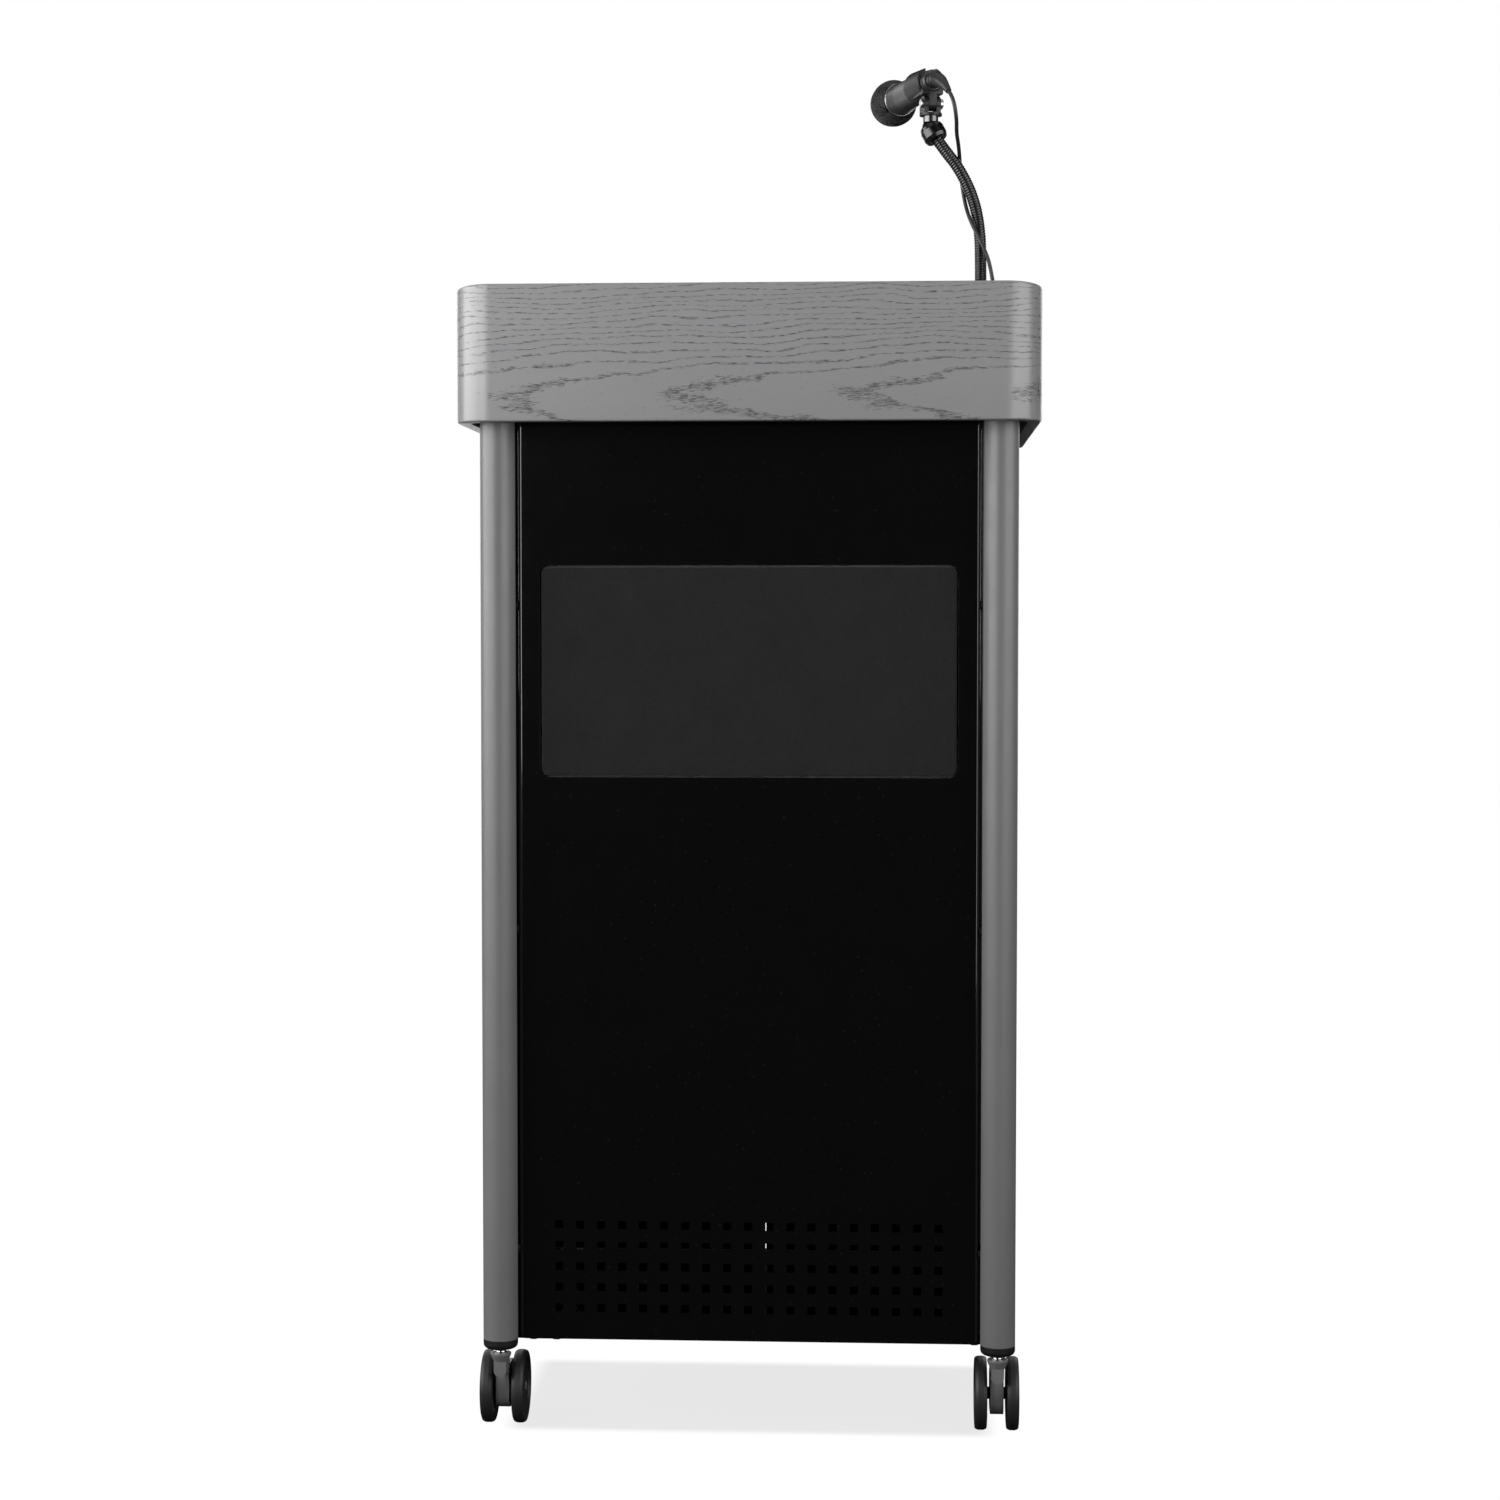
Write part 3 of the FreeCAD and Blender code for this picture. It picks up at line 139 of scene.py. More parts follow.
def loft(name, rings, sharp=35):
    """Skin over rings of equally many points, closed round each ring and capped at both ends."""
    size = len(rings[0])
    points = [point for ring in rings for point in ring]
    faces = []
    for low in range(len(rings) - 1):
        for index in range(size):
            following = (index + 1) % size
            faces.append((low * size + index, low * size + following,
                          (low + 1) * size + following, (low + 1) * size + index))
    faces.append(tuple(range(size))[::-1])
    faces.append(tuple(range((len(rings) - 1) * size, len(rings) * size)))
    return mesh_of(name, points, faces, sharp)


def ring_at(place, radius, height, sides):
    """Circle at a height along the Z axis of a placement matrix."""
    return [place @ Vector((radius * math.cos(2 * math.pi * n / sides),
                            radius * math.sin(2 * math.pi * n / sides), height))
            for n in range(sides)]


def turned(name, corners, place, sides=96):
    """Solid of revolution from (radius, height, rounding) corners, in millimetres."""
    outline = eased([(a * MM, b * MM, c * MM) for a, b, c in corners])
    return loft(name, [ring_at(place, max(point.x, ON_AXIS), point.y, sides) for point in outline])


def frame_at(origin, z_axis, x_hint=(1, 0, 0)):
    """Placement matrix at a point, with Z along an axis."""
    z = Vector(z_axis).normalized()
    x = Vector(x_hint)
    x = (x - z * x.dot(z)).normalized()
    y = z.cross(x)
    matrix = Matrix((x, y, z)).transposed().to_4x4()
    matrix.translation = Vector(origin)
    return matrix


def nurbs_line(points):
    """Points along the smooth line that the given control points define."""
    curve = bpy.data.curves.new("route", "CURVE")
    curve.dimensions = "3D"
    curve.resolution_u = 16
    spline = curve.splines.new("NURBS")
    spline.points.add(len(points) - 1)
    for control, point in zip(spline.points, points):
        control.co = (*point, 1)
    spline.order_u = 3
    spline.use_endpoint_u = True
    holder = bpy.data.objects.new("route", curve)
    mesh = bpy.data.meshes.new_from_object(holder)
    line = [vertex.co.copy() for vertex in mesh.vertices]
    bpy.data.meshes.remove(mesh)
    bpy.data.objects.remove(holder)
    bpy.data.curves.remove(curve)
    return line


def spaced(line, step):
    """The line again, with points evenly spaced about a step apart."""
    at = np.array(line)
    run = np.concatenate([[0], np.cumsum(np.linalg.norm(np.diff(at, axis=0), axis=1))])
    count = max(2, math.ceil(run[-1] / step) + 1)
    wanted = np.linspace(0, run[-1], count)
    return [Vector(point) for point in np.stack([np.interp(wanted, run, at[:, k])
                                                 for k in range(3)], axis=1)]


def frames_along(line):
    """A placement matrix at each point of a line, turning as little as possible."""
    matrices = []
    x = Vector((1, 0, 0))
    for index, point in enumerate(line):
        ahead = line[min(index + 1, len(line) - 1)] - line[max(index - 1, 0)]
        matrix = frame_at(point, ahead, x)
        x = matrix.to_3x3().col[0]
        matrices.append(matrix)
    return matrices


def soften(name, width=0.3, segments=2):
    """Eases the crisp edges of a carried-over CAD node."""
    piece = nodes[name]
    weld = piece.modifiers.new("weld", "WELD")
    weld.merge_threshold = 1e-6
    bevel = piece.modifiers.new("ease", "BEVEL")
    bevel.width = width * MM
    bevel.segments = segments
    bevel.limit_method = "ANGLE"
    bevel.angle_limit = math.radians(40)
    bevel.harden_normals = True
    if "custom_normal" in piece.data.attributes:
        piece.data.attributes.remove(piece.data.attributes["custom_normal"])
    piece.data.shade_smooth()
    piece.data.set_sharp_from_angle(angle=math.radians(40))


def dress(material, *names):
    """Gives CAD nodes or pieces a material in every slot."""
    for name in names:
        piece = bpy.data.objects[name]
        piece.data.materials.clear()
        piece.data.materials.append(material)


# ---------------------------------------------------------------- material helpers
class Recipe:
    """One procedural material and short calls that wire its nodes."""

    def __init__(self, name, **constants):
        self.material = bpy.data.materials.new(name)
        self.material.use_nodes = True
        self.tree = self.material.node_tree
        self.shader = next(n for n in self.tree.nodes if n.type == "BSDF_PRINCIPLED")
        for socket, number in constants.items():
            self.shader.inputs[socket.replace("_", " ")].default_value = number

    def add(self, kind, settings=None, **inputs):
        """A node with its settings; an input is a number or another node's output."""
        node = self.tree.nodes.new("ShaderNode" + kind)
        for key, setting in (settings or {}).items():
            setattr(node, key, setting)
        for key, source in inputs.items():
            socket = node.inputs[int(key[1:])] if key[0] == "i" and key[1:].isdigit() \
                else node.inputs[key.replace("_", " ")]
            self.feed(socket, source)
        return node

    def feed(self, socket, source):
        """Links a node's output to a socket, or sets the socket to a number or a colour."""
        if isinstance(source, bpy.types.NodeSocket):
            self.tree.links.new(source, socket)
        else:
            socket.default_value = source

    def point(self, stretch=(1, 1, 1), shift=(0, 0, 0), source="Object"):
        """Coordinates in metres, stretched along each axis."""
        where = self.add("TexCoord").outputs[source]
        return self.add("Mapping", Vector=where, Scale=stretch, Location=shift).outputs["Vector"]

    def noise(self, size, detail=3, rough=0.5, **where):
        """Noise from 0 to 1 whose features are about a size in metres."""
        return self.add("TexNoise", Vector=self.point(**where), Scale=1 / size, Detail=detail,
                        Roughness=rough).outputs["Fac"]

    def between(self, value, low, high, to_low=0.0, to_high=1.0):
        """Value mapped smoothly from low..high to to_low..to_high."""
        return self.add("MapRange", {"interpolation_type": "SMOOTHSTEP"}, Value=value,
                        From_Min=low, From_Max=high, To_Min=to_low,
                        To_Max=to_high).outputs["Result"]

    def sum(self, operation, a, b=0.0, c=0.0):
        """Result of a math node."""
        return self.add("Math", {"operation": operation}, i0=a, i1=b, i2=c).outputs[0]

    def blend(self, share, dark, light):
        """Colour between two greys or colours by a share."""
        mixer = self.add("Mix", {"data_type": "RGBA"}, i0=share)
        for socket, tone in ((mixer.inputs[6], dark), (mixer.inputs[7], light)):
            if isinstance(tone, (int, float)):
                tone = (tone, tone, tone * 1.02, 1)
            self.feed(socket, tone)
        return mixer.outputs[2]

    def colour(self, source):
        self.feed(self.shader.inputs["Base Color"], source)

    def roughness(self, source):
        self.feed(self.shader.inputs["Roughness"], source)

    def bump(self, *layers):
        """Height layers (value, depth in metres), one on top of another."""
        normal = None
        for height, depth in layers:
            inputs = {"Height": height, "Distance": depth, "Strength": 1.0}
            if normal is not None:
                inputs["Normal"] = normal
            normal = self.add("Bump", **inputs).outputs["Normal"]
        self.feed(self.shader.inputs["Normal"], normal)


def painted(name, dark, light, rough, peel=0.02, peel_size=2.2, specks=0.0, **constants):
    """Powder-coated or lacquered metal: orange peel, faint mottling, a little dust."""
    r = Recipe(name, **constants)
    mottle = r.noise(0.07, detail=4, rough=0.6)
    fine = r.noise(0.0009, detail=2)
    tone = r.blend(r.sum("MULTIPLY_ADD", mottle, 0.75, r.sum("MULTIPLY", fine, 0.25)), dark, light)
    if specks:
        dust = r.between(r.noise(0.0035, detail=1, rough=0.3), 0.735, 0.76)
        tone = r.blend(r.sum("MULTIPLY", dust, specks), tone, 0.12)
    r.colour(tone)
    r.roughness(r.between(r.noise(0.03, detail=3), 0.25, 0.75, rough * 0.92, rough * 1.10))
    r.bump((r.noise(peel_size * MM, detail=2), peel * MM), (fine, peel * 0.15 * MM))
    return r.material


def moulded(name, dark, light, rough, grain=0.45, depth=0.012, **constants):
    """Spark-textured moulded plastic or rubber."""
    r = Recipe(name, **constants)
    mottle = r.noise(0.018, detail=4, rough=0.55)
    texture = r.noise(grain * MM, detail=3, rough=0.65)
    r.colour(r.blend(r.sum("MULTIPLY_ADD", mottle, 0.7, r.sum("MULTIPLY", texture, 0.3)),
                     dark, light))
    r.roughness(r.between(texture, 0.3, 0.7, rough - 0.06, rough + 0.07))
    r.bump((texture, depth * MM))
    return r.material


def metal(name, dark, light, rough, stretch=(1, 1, 1), **constants):
    """Drawn or plated metal with fine lines along the stretched axis."""
    r = Recipe(name, Metallic=1.0, **constants)
    lines = r.noise(0.0006, detail=3, rough=0.6, stretch=stretch)
    haze = r.noise(0.01, detail=3)
    r.colour(r.blend(haze, dark, light))
    r.roughness(r.between(lines, 0.3, 0.7, rough - 0.05, rough + 0.09))
    r.bump((lines, 0.003 * MM))
    return r.material


# ---------------------------------------------------------------- microphone cable
CABLE_DIAMETER = 4.0 * MM
CABLE_ROUTE = [Vector(point) * MM for point in (
    (202.81, -210.10, 1381), (206, -215.5, 1375.4), (209.2, -218, 1364.5),
    (211.2, -213, 1350.5), (211.4, -197.5, 1340), (214, -181, 1330), (215.6, -166.4, 1316),
    (217, -165.2, 1300), (219, -168, 1284), (222, -173.6, 1268), (226, -184.6, 1254),
    (232.6, -187.6, 1240), (238.8, -189.4, 1227), (244.2, -190.2, 1214.5), (247.4, -189.4, 1201),
    (249.4, -192, 1188), (252.5, -196.43, 1179.95), (252.5, -197.58, 1169.02))]


def make_cable():
    """Thin cable from the microphone's connector down to the grommet in the desk."""
    line = nurbs_line(CABLE_ROUTE)
    rings = [ring_at(matrix, CABLE_DIAMETER / 2, 0, 20) for matrix in frames_along(line)]
    cable = shown("microphone_lead", loft("microphone_lead", rings), None, "cable_jacket",
                  "mic_cable")
    return cable, line


def settle_cable(cable):
    """Bakes the cable's placement into its mesh."""
    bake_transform(cable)


make_camera()
cable, cable_line = make_cable()


# ---------------------------------------------------------------- desk
DESK_X, DESK_Y = 0.2985, 0.254
DESK_CORNER, SKIRT_WALL = 0.039, 0.014
SKIRT_BASE, SKIRT_TOP = 1.046, 1.185
SLOPE = math.tan(math.radians(6))


def desk_level(y):
    """Height of the skirt's sloping top at y."""
    return SKIRT_TOP - SLOPE * (y + DESK_Y)


def desk_outline(inset):
    """Points round the desk from the middle of its back, with the run along its outer face."""
    corner_steps = 20
    a, b = DESK_X - DESK_CORNER, DESK_Y - DESK_CORNER
    radius = DESK_CORNER - inset
    stations, run = [(0.0, DESK_Y - inset)], [0.0]
    quarter = math.pi / 2 * DESK_CORNER
    corners = ((-a, b, 90), (-a, -b, 180), (a, -b, 270), (a, b, 0))     # centre, first angle
    sides = (a, 2 * b, 2 * a, 2 * b)
    for (x, y, start), straight in zip(corners, sides):
        begin = run[-1] + straight
        for step in range(corner_steps + 1):
            angle = math.radians(start + 90 * step / corner_steps)
            stations.append((x + radius * math.cos(angle), y + radius * math.sin(angle)))
            run.append(begin + quarter * step / corner_steps)
    stations.append((0.0, DESK_Y - inset))
    run.append(run[-1] + a)
    middle = run[-1] / 2
    return stations, [length - middle for length in run]


def make_skirt():
    """Veneered skirt: one section swept round the desk, its grain laid out along the wrap."""
    arris, inner = 2.0 * MM, 0.8 * MM
    section = []        # (inset from the outer face, height from the base or below the top)
    for step in range(5):
        angle = math.pi / 2 * step / 4
        section.append((arris * (1 - math.sin(angle)), "base", arris * (1 - math.cos(angle))))
    for step in range(5):
        angle = math.pi / 2 * step / 4
        section.append((arris * (1 - math.cos(angle)), "top", arris * (1 - math.sin(angle))))
    for step in range(4):
        angle = math.pi / 2 * step / 3
        section.append((SKIRT_WALL - inner * (1 - math.sin(angle)), "top",
                        inner * (1 - math.cos(angle))))
    section.append((SKIRT_WALL, "base", 0.0))

    points, grain = [], []
    for inset, datum, offset in section:
        stations, run = desk_outline(inset)
        for (x, y), along in zip(stations, run):
            level = SKIRT_BASE + offset if datum == "base" else desk_level(y) - offset
            points.append((x, y, level))
            grain.append((along, level - SKIRT_BASE + inset))
    size = len(stations)
    faces = []
    for low in range(len(section)):
        high = (low + 1) % len(section)
        for index in range(size - 1):
            faces.append((low * size + index, low * size + index + 1,
                          high * size + index + 1, high * size + index))
    mesh = mesh_of("skirt_veneer", points, faces, grain=grain)
    shown("skirt_veneer", mesh, "root", "skirt_laminate", "desk_skirt")


def veneer(name, source, tone, lift=0.0):
    """Grey-stained oak laminate. The growth rings are those of a tapering log cut off its
    middle, so that they run level above and close in nested arches below; the pores are short
    dark dashes that crowd in each ring's early wood. A thin clear coat lies over it all."""
    ring_width, pore_size, fibre_size = 0.0088, 0.0010, 0.0016
    r = Recipe(name, Specular_IOR_Level=0.45, Coat_Weight=0.45, Coat_Roughness=0.25)
    place = r.point(source=source)
    parts = r.add("SeparateXYZ", Vector=place)
    along, up = parts.outputs[0], parts.outputs[1]
    sway = r.noise(0.16, detail=2, source=source, stretch=(1, 3.2, 1))
    wander = r.noise(0.045, detail=3, source=source, stretch=(1, 4, 1), shift=(3, 0, 0))
    # distance from the log's middle: level offset from the arch line, and depth under it
    slant = r.sum("MULTIPLY", along, 0.01)
    offset = r.sum("SUBTRACT", up, r.sum("ADD", slant, 0.025 + lift))
    offset = r.sum("ADD", offset, r.sum("MULTIPLY_ADD", sway, 0.030, -0.015))
    # the rings crowd together towards the top
    crowd = r.sum("MAXIMUM", r.sum("SUBTRACT", offset, 0.02), 0.0)
    offset = r.sum("ADD", offset, r.sum("MULTIPLY", crowd, 0.7))
    depth = r.sum("MULTIPLY_ADD", along, -0.05, 0.060)
    square = r.sum("ADD", r.sum("MULTIPLY", offset, offset), r.sum("MULTIPLY", depth, depth))
    radius = r.sum("SQRT", square)
    radius = r.sum("ADD", radius, r.sum("MULTIPLY_ADD", wander, 0.006, -0.003))
    ring = r.sum("FRACT", r.sum("DIVIDE", radius, ring_width))
    early = r.sum("MULTIPLY", r.between(ring, 0.0, 0.10), r.between(ring, 0.16, 0.44, 1.0, 0.0))
    # pores: dashes along the grain, thinned out between the rings
    dash = r.noise(pore_size, detail=2, rough=0.6, source=source, stretch=(0.12, 1.5, 1))
    broken = r.noise(0.007, detail=2, source=source, stretch=(0.4, 1.6, 1), shift=(0, 5, 0))
    limit = r.sum("MULTIPLY_ADD", early, -0.205, 0.700)
    limit = r.sum("SUBTRACT", limit, r.sum("MULTIPLY_ADD", broken, 0.26, -0.13))
    pore = r.between(r.sum("SUBTRACT", dash, limit), 0.0, 0.045)
    body = r.noise(0.11, detail=3, rough=0.55, source=source, stretch=(0.5, 2, 1))
    fibre = r.noise(fibre_size, detail=3, rough=0.7, source=source, stretch=(0.1, 1.4, 1))
    base = r.blend(r.sum("MULTIPLY_ADD", body, 0.6, r.sum("MULTIPLY", fibre, 0.4)),
                   tone * 0.90, tone * 1.10)
    r.colour(r.blend(r.sum("MULTIPLY", pore, 0.92), base, tone * 0.26))
    r.roughness(r.between(fibre, 0.3, 0.7, 0.36, 0.44))
    r.bump((r.sum("MULTIPLY", pore, -1.0), 0.10 * MM), (fibre, 0.012 * MM))
    return r.material


make_skirt()
dress(veneer("skirt_laminate_finish", "UV", 0.205), "skirt_veneer")
dress(veneer("board_laminate_finish", "Object", 0.215, lift=-0.04), "reading_surface")


# ---------------------------------------------------------------- speaker grille
def make_grille():
    """Foam front: a flat face with rounded corners and soft edges."""
    low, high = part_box("speaker_grille")
    half_x, half_z = (high.x - low.x) / 2, (high.z - low.z) / 2
    centre = Vector(((low.x + high.x) / 2, 0, (low.z + high.z) / 2))
    face, back = low.y, high.y
    corner, soft, inner = 8.0 * MM, 2.2 * MM, 20.0 * MM
    profile = [(0.0, back - face), (0.0, soft)]     # (inset from the edge, depth behind the face)
    profile += [(soft * (1 - math.cos(math.pi / 2 * n / 6)),
                 soft * (1 - math.sin(math.pi / 2 * n / 6))) for n in range(1, 7)]
    profile += [(soft + (inner - soft) * n / 8, 0.0) for n in range(1, 9)]
    rings = []
    for inset, depth in profile:
        a, b, radius = half_x - inset, half_z - inset, max(corner - inset, 0.3 * MM)
        outline = eased([(-a, -b, radius), (a, -b, radius), (a, b, radius), (-a, b, radius)],
                        closed=True, steps=10)
        rings.append([(centre.x + p.x, face + depth, centre.z + p.y) for p in outline])
    mesh = loft("grille_foam_front", rings)
    shown("grille_foam_front", mesh, "root", "grille_foam", "speaker_grille")


def foam(name):
    """Open-cell acoustic foam under a fine knit: matt, speckled, slightly cloudy."""
    r = Recipe(name, Specular_IOR_Level=0.15, Sheen_Weight=0.10, Sheen_Roughness=0.6)
    cells = r.add("TexVoronoi", {"feature": "F1"}, Vector=r.point(), Scale=1 / 0.0011)
    cell = r.between(cells.outputs["Distance"], 0.15, 0.75)
    speckle = r.noise(0.0016, detail=3, rough=0.7)
    cloud = r.noise(0.045, detail=4, rough=0.6)
    share = r.sum("MULTIPLY_ADD", cell, -0.35, r.sum("MULTIPLY_ADD", speckle, 0.7,
                                                     r.sum("MULTIPLY", cloud, 0.55)))
    r.colour(r.blend(share, 0.003, 0.014))
    r.roughness(r.between(speckle, 0.3, 0.7, 0.86, 0.97))
    r.bump((cell, -0.25 * MM), (speckle, 0.25 * MM))
    return r.material


make_grille()
dress(foam("grille_foam_finish"), "grille_foam_front")


# ---------------------------------------------------------------- casters
AXLE_LEVEL = 0.038
# millimetres: from the caster's web to a tyre, the tyre's width, and the tyre's radius
WHEEL_GAP, WHEEL_WIDTH, TYRE = 3.3, 12.6, 38.0
WHEEL_PIECES = [f"{caster}_{{}}_{side}" for caster in CASTERS for side, _ in SIDES]


def make_wheels():
    """Twin wheels: a soft tyre round a recessed disc with a domed centre, and on the side of the
    fork a shallow cup and the axle's boss."""
    for caster in CASTERS:
        for side, sign in SIDES:
            wheel = f"{caster}_wheel_{side}"
            low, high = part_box(wheel)
            inner_x = low.x if sign > 0 else high.x
            inner_x += sign * (WHEEL_GAP - 0.3) * MM
            place = frame_at((inner_x, ((low + high) / 2).y, AXLE_LEVEL), (sign, 0, 0), (0, 1, 0))
            tyre = turned(wheel + "_tyre", [
                (TYRE - 9.2, 1.2, 0), (TYRE - 7, 0, 1), (TYRE - 1.4, 0, 2),
                (TYRE, 3.6, 3), (TYRE, 9, 3), (TYRE - 1.4, WHEEL_WIDTH, 2),
                (TYRE - 5.5, WHEEL_WIDTH, 1.2), (TYRE - 6.8, WHEEL_WIDTH - 3.2, 0.8),
                (TYRE - 9.2, WHEEL_WIDTH - 3.2, 0)], place, sides=128)
            shown(f"{caster}_tyre_{side}", tyre, wheel, "wheel_rubber", wheel)
            disc = turned("disc", [
                (26, 2.0, 0), (TYRE - 8.8, 2.0, 0.3), (TYRE - 8.8, WHEEL_WIDTH - 3.6, 0.4),
                (27.5, WHEEL_WIDTH - 3.6, 0.4), (26.5, WHEEL_WIDTH - 4.6, 0.6),
                (11.5, WHEEL_WIDTH - 4.9, 1.5), (10.2, WHEEL_WIDTH - 3.0, 0.8),
                (0, WHEEL_WIDTH - 2.4, 0)], place)
            shown(f"{caster}_hub_{side}", disc, wheel, "grey_plastic")
            boss = turned("boss", [
                (3.1, 0.4 - WHEEL_GAP, 0), (6.2, 0.4 - WHEEL_GAP, 0.6), (6.6, 1.2, 0.4),
                (6.6, 2.6, 0)], place, sides=64)
            shown(f"{caster}_boss_{side}", boss, wheel, "black_plastic")
            cup = turned("cup", [
                (6.5, 2.2, 0), (7.4, 1.0, 0.5), (23.5, 1.4, 1.5), (24.8, 0.5, 0.4),
                (TYRE - 9.4, 0.5, 0.4), (TYRE - 9.0, 2.2, 0)], place)
            shown(f"{caster}_inner_{side}", cup, wheel, "grey_plastic")


make_wheels()
dress(moulded("wheel_rubber_finish", 0.010, 0.022, 0.52, Specular_IOR_Level=0.4),
      *[name.format("tyre") for name in WHEEL_PIECES])
dress(moulded("hub_plastic_finish", 0.018, 0.032, 0.42),
      *[name.format("hub") for name in WHEEL_PIECES])
dress(moulded("boss_plastic_finish", 0.004, 0.008, 0.45),
      *[name.format("boss") for name in WHEEL_PIECES])
dress(moulded("grey_plastic_finish", 0.11, 0.15, 0.45), *PEDALS,
      *[name.format("inner") for name in WHEEL_PIECES],
      *[f"{caster}_housing" for caster in CASTERS])


# ---------------------------------------------------------------- gooseneck
GOOSENECK = [Vector(point) * MM for point in (
    (237, -183.54, 1177.64), (237, -179.5, 1216), (236.2, -177.2, 1242), (232, -176.2, 1268),
    (224.4, -176, 1289.5), (212.5, -176, 1311), (201.5, -175.6, 1324.5), (192.5, -173.6, 1337.4))]


def make_gooseneck():
    """Flexible arm: a steel helix whose turns stand out as fine ribs."""
    pitch, radius, depth, sides = 2.7 * MM, 6.2 * MM, 0.75 * MM, 36
    line = spaced(nurbs_line(GOOSENECK), pitch / 8)
    run = 0.0
    rings = []
    for index, matrix in enumerate(frames_along(line)):
        if index:
            run += (line[index] - line[index - 1]).length
        ring = []
        for n in range(sides):
            turn = n / sides
            wave = abs(math.sin(math.pi * (run / pitch - turn)))
            distance = radius - depth * (1 - wave ** 0.6)
            angle = 2 * math.pi * turn
            ring.append(matrix @ Vector((distance * math.cos(angle),
                                         distance * math.sin(angle), 0)))
        rings.append(ring)
    shown("gooseneck_spiral", loft("gooseneck_spiral", rings, sharp=80), "root",
          "gooseneck_steel", "gooseneck")


make_gooseneck()


# ---------------------------------------------------------------- microphone
CLIP = Vector((0.1855, -0.170, 1.3974))     # on the microphone's axis, above the clip's hinge
YAW = math.radians(17.3)
FORWARD = Vector((-math.sin(YAW), math.cos(YAW), 0))
ACROSS = Vector((math.cos(YAW), math.sin(YAW), 0))
TAIL = CLIP - FORWARD * 0.006       # on the microphone's axis, 3 mm inside its handle's end
MIC = frame_at(TAIL, FORWARD, -ACROSS)


def make_microphone():
    """Tapered handle with a collar at its tail, and the silver ring under the ball."""
    body = turned("mic_handle", [
        (0, -3, 0), (9.6, -3, 0.6), (10.4, -2.2, 0.4), (11.4, -1.2, 0.5), (11.4, 2.2, 0.5),
        (10.5, 3.0, 0.3), (10.5, 4.0, 0.3), (11.6, 4.6, 0.4), (12.2, 8, 1), (14.6, 48, 20),
        (15.6, 88, 20), (16.8, 103.5, 3), (17, 105.4, 0.4), (16.3, 105.9, 0.2),
        (16.3, 106.7, 0.2), (17, 107.2, 0.4), (17, 109.4, 0.3), (0, 109.4, 0)], MIC)
    shown("mic_handle", body, "microphone", "black_paint", "mic_body")
    ring = turned("mic_silver_ring", [
        (14, 109.2, 0), (17.2, 109.2, 0.2), (17.5, 109.6, 0.3), (17.5, 111.1, 0.4),
        (17.2, 111.5, 0.2), (14, 111.5, 0)], MIC)
    shown("mic_silver_ring", ring, "microphone", "chrome", "mic_ring")


def ball_outline():
    """Half outline of the microphone's ball from its neck to its nose."""
    return eased([(a * MM, b * MM, c * MM) for a, b, c in (
        (16.8, 111.5, 0), (21.75, 121, 8), (24.25, 130, 4), (24.25, 137, 4), (22.75, 146, 10),
        (13, 158, 12), (0, 160.5, 0))], steps=8)


def make_ball():
    """Woven wire ball over a dark foam liner."""
    outline = ball_outline()
    lengths = [0.0]
    for a, b in zip(outline, outline[1:]):
        lengths.append(lengths[-1] + (b - a).length)
    cells = 26
    points, faces = [], []
    for axis in range(5):           # the nose side and the four flanks of a cube
        for row in range(cells):
            for column in range(cells):
                base = len(points)
                for i, j in ((0, 0), (1, 0), (1, 1), (0, 1)):
                    a = math.tan((2 * (column + i) / cells - 1) * math.pi / 4)
                    b = math.tan((2 * (row + j) / cells - 1) * math.pi / 4)
                    if axis == 0:
                        way = Vector((a, b, 1))
                    else:
                        way = Matrix.Rotation(math.pi / 2 * axis, 3, "Z") @ Vector((1, a, b))
                    points.append(way.normalized())
                faces.append((base, base + 1, base + 2, base + 3))
    open_angle = math.radians(132)      # from the nose to the neck, where the wire ends
    kept = [face for face in faces
            if all(points[n].angle(Vector((0, 0, 1))) < open_angle for n in face)]
    placed = []
    for way in points:
        share = min(way.angle(Vector((0, 0, 1))) / open_angle, 1.0)
        at = lengths[-1] * (1 - share)
        radius = np.interp(at, lengths, [p.x for p in outline])
        height = np.interp(at, lengths, [p.y for p in outline])
        around = Vector((way.x, way.y, 0))
        around = around.normalized() * radius if around.length > 1e-9 else around
        placed.append(MIC @ Vector((around.x, around.y, height)))
    mesh = mesh_of("mic_wire_ball", placed, kept, sharp=180)
    ball = shown("mic_wire_ball", mesh, "microphone", "grille_steel", "mic_grille")
    wire = ball.modifiers.new("wire", "WIREFRAME")
    wire.thickness = 0.62 * MM
    wire.offset = -1
    wire.use_even_offset = False
    liner_rings = [ring_at(MIC, max(p.x - 1.1 * MM, ON_AXIS), p.y - 0.4 * MM, 64)
                   for p in outline]
    shown("mic_foam_liner", loft("mic_foam_liner", liner_rings), "microphone", "grille_foam")


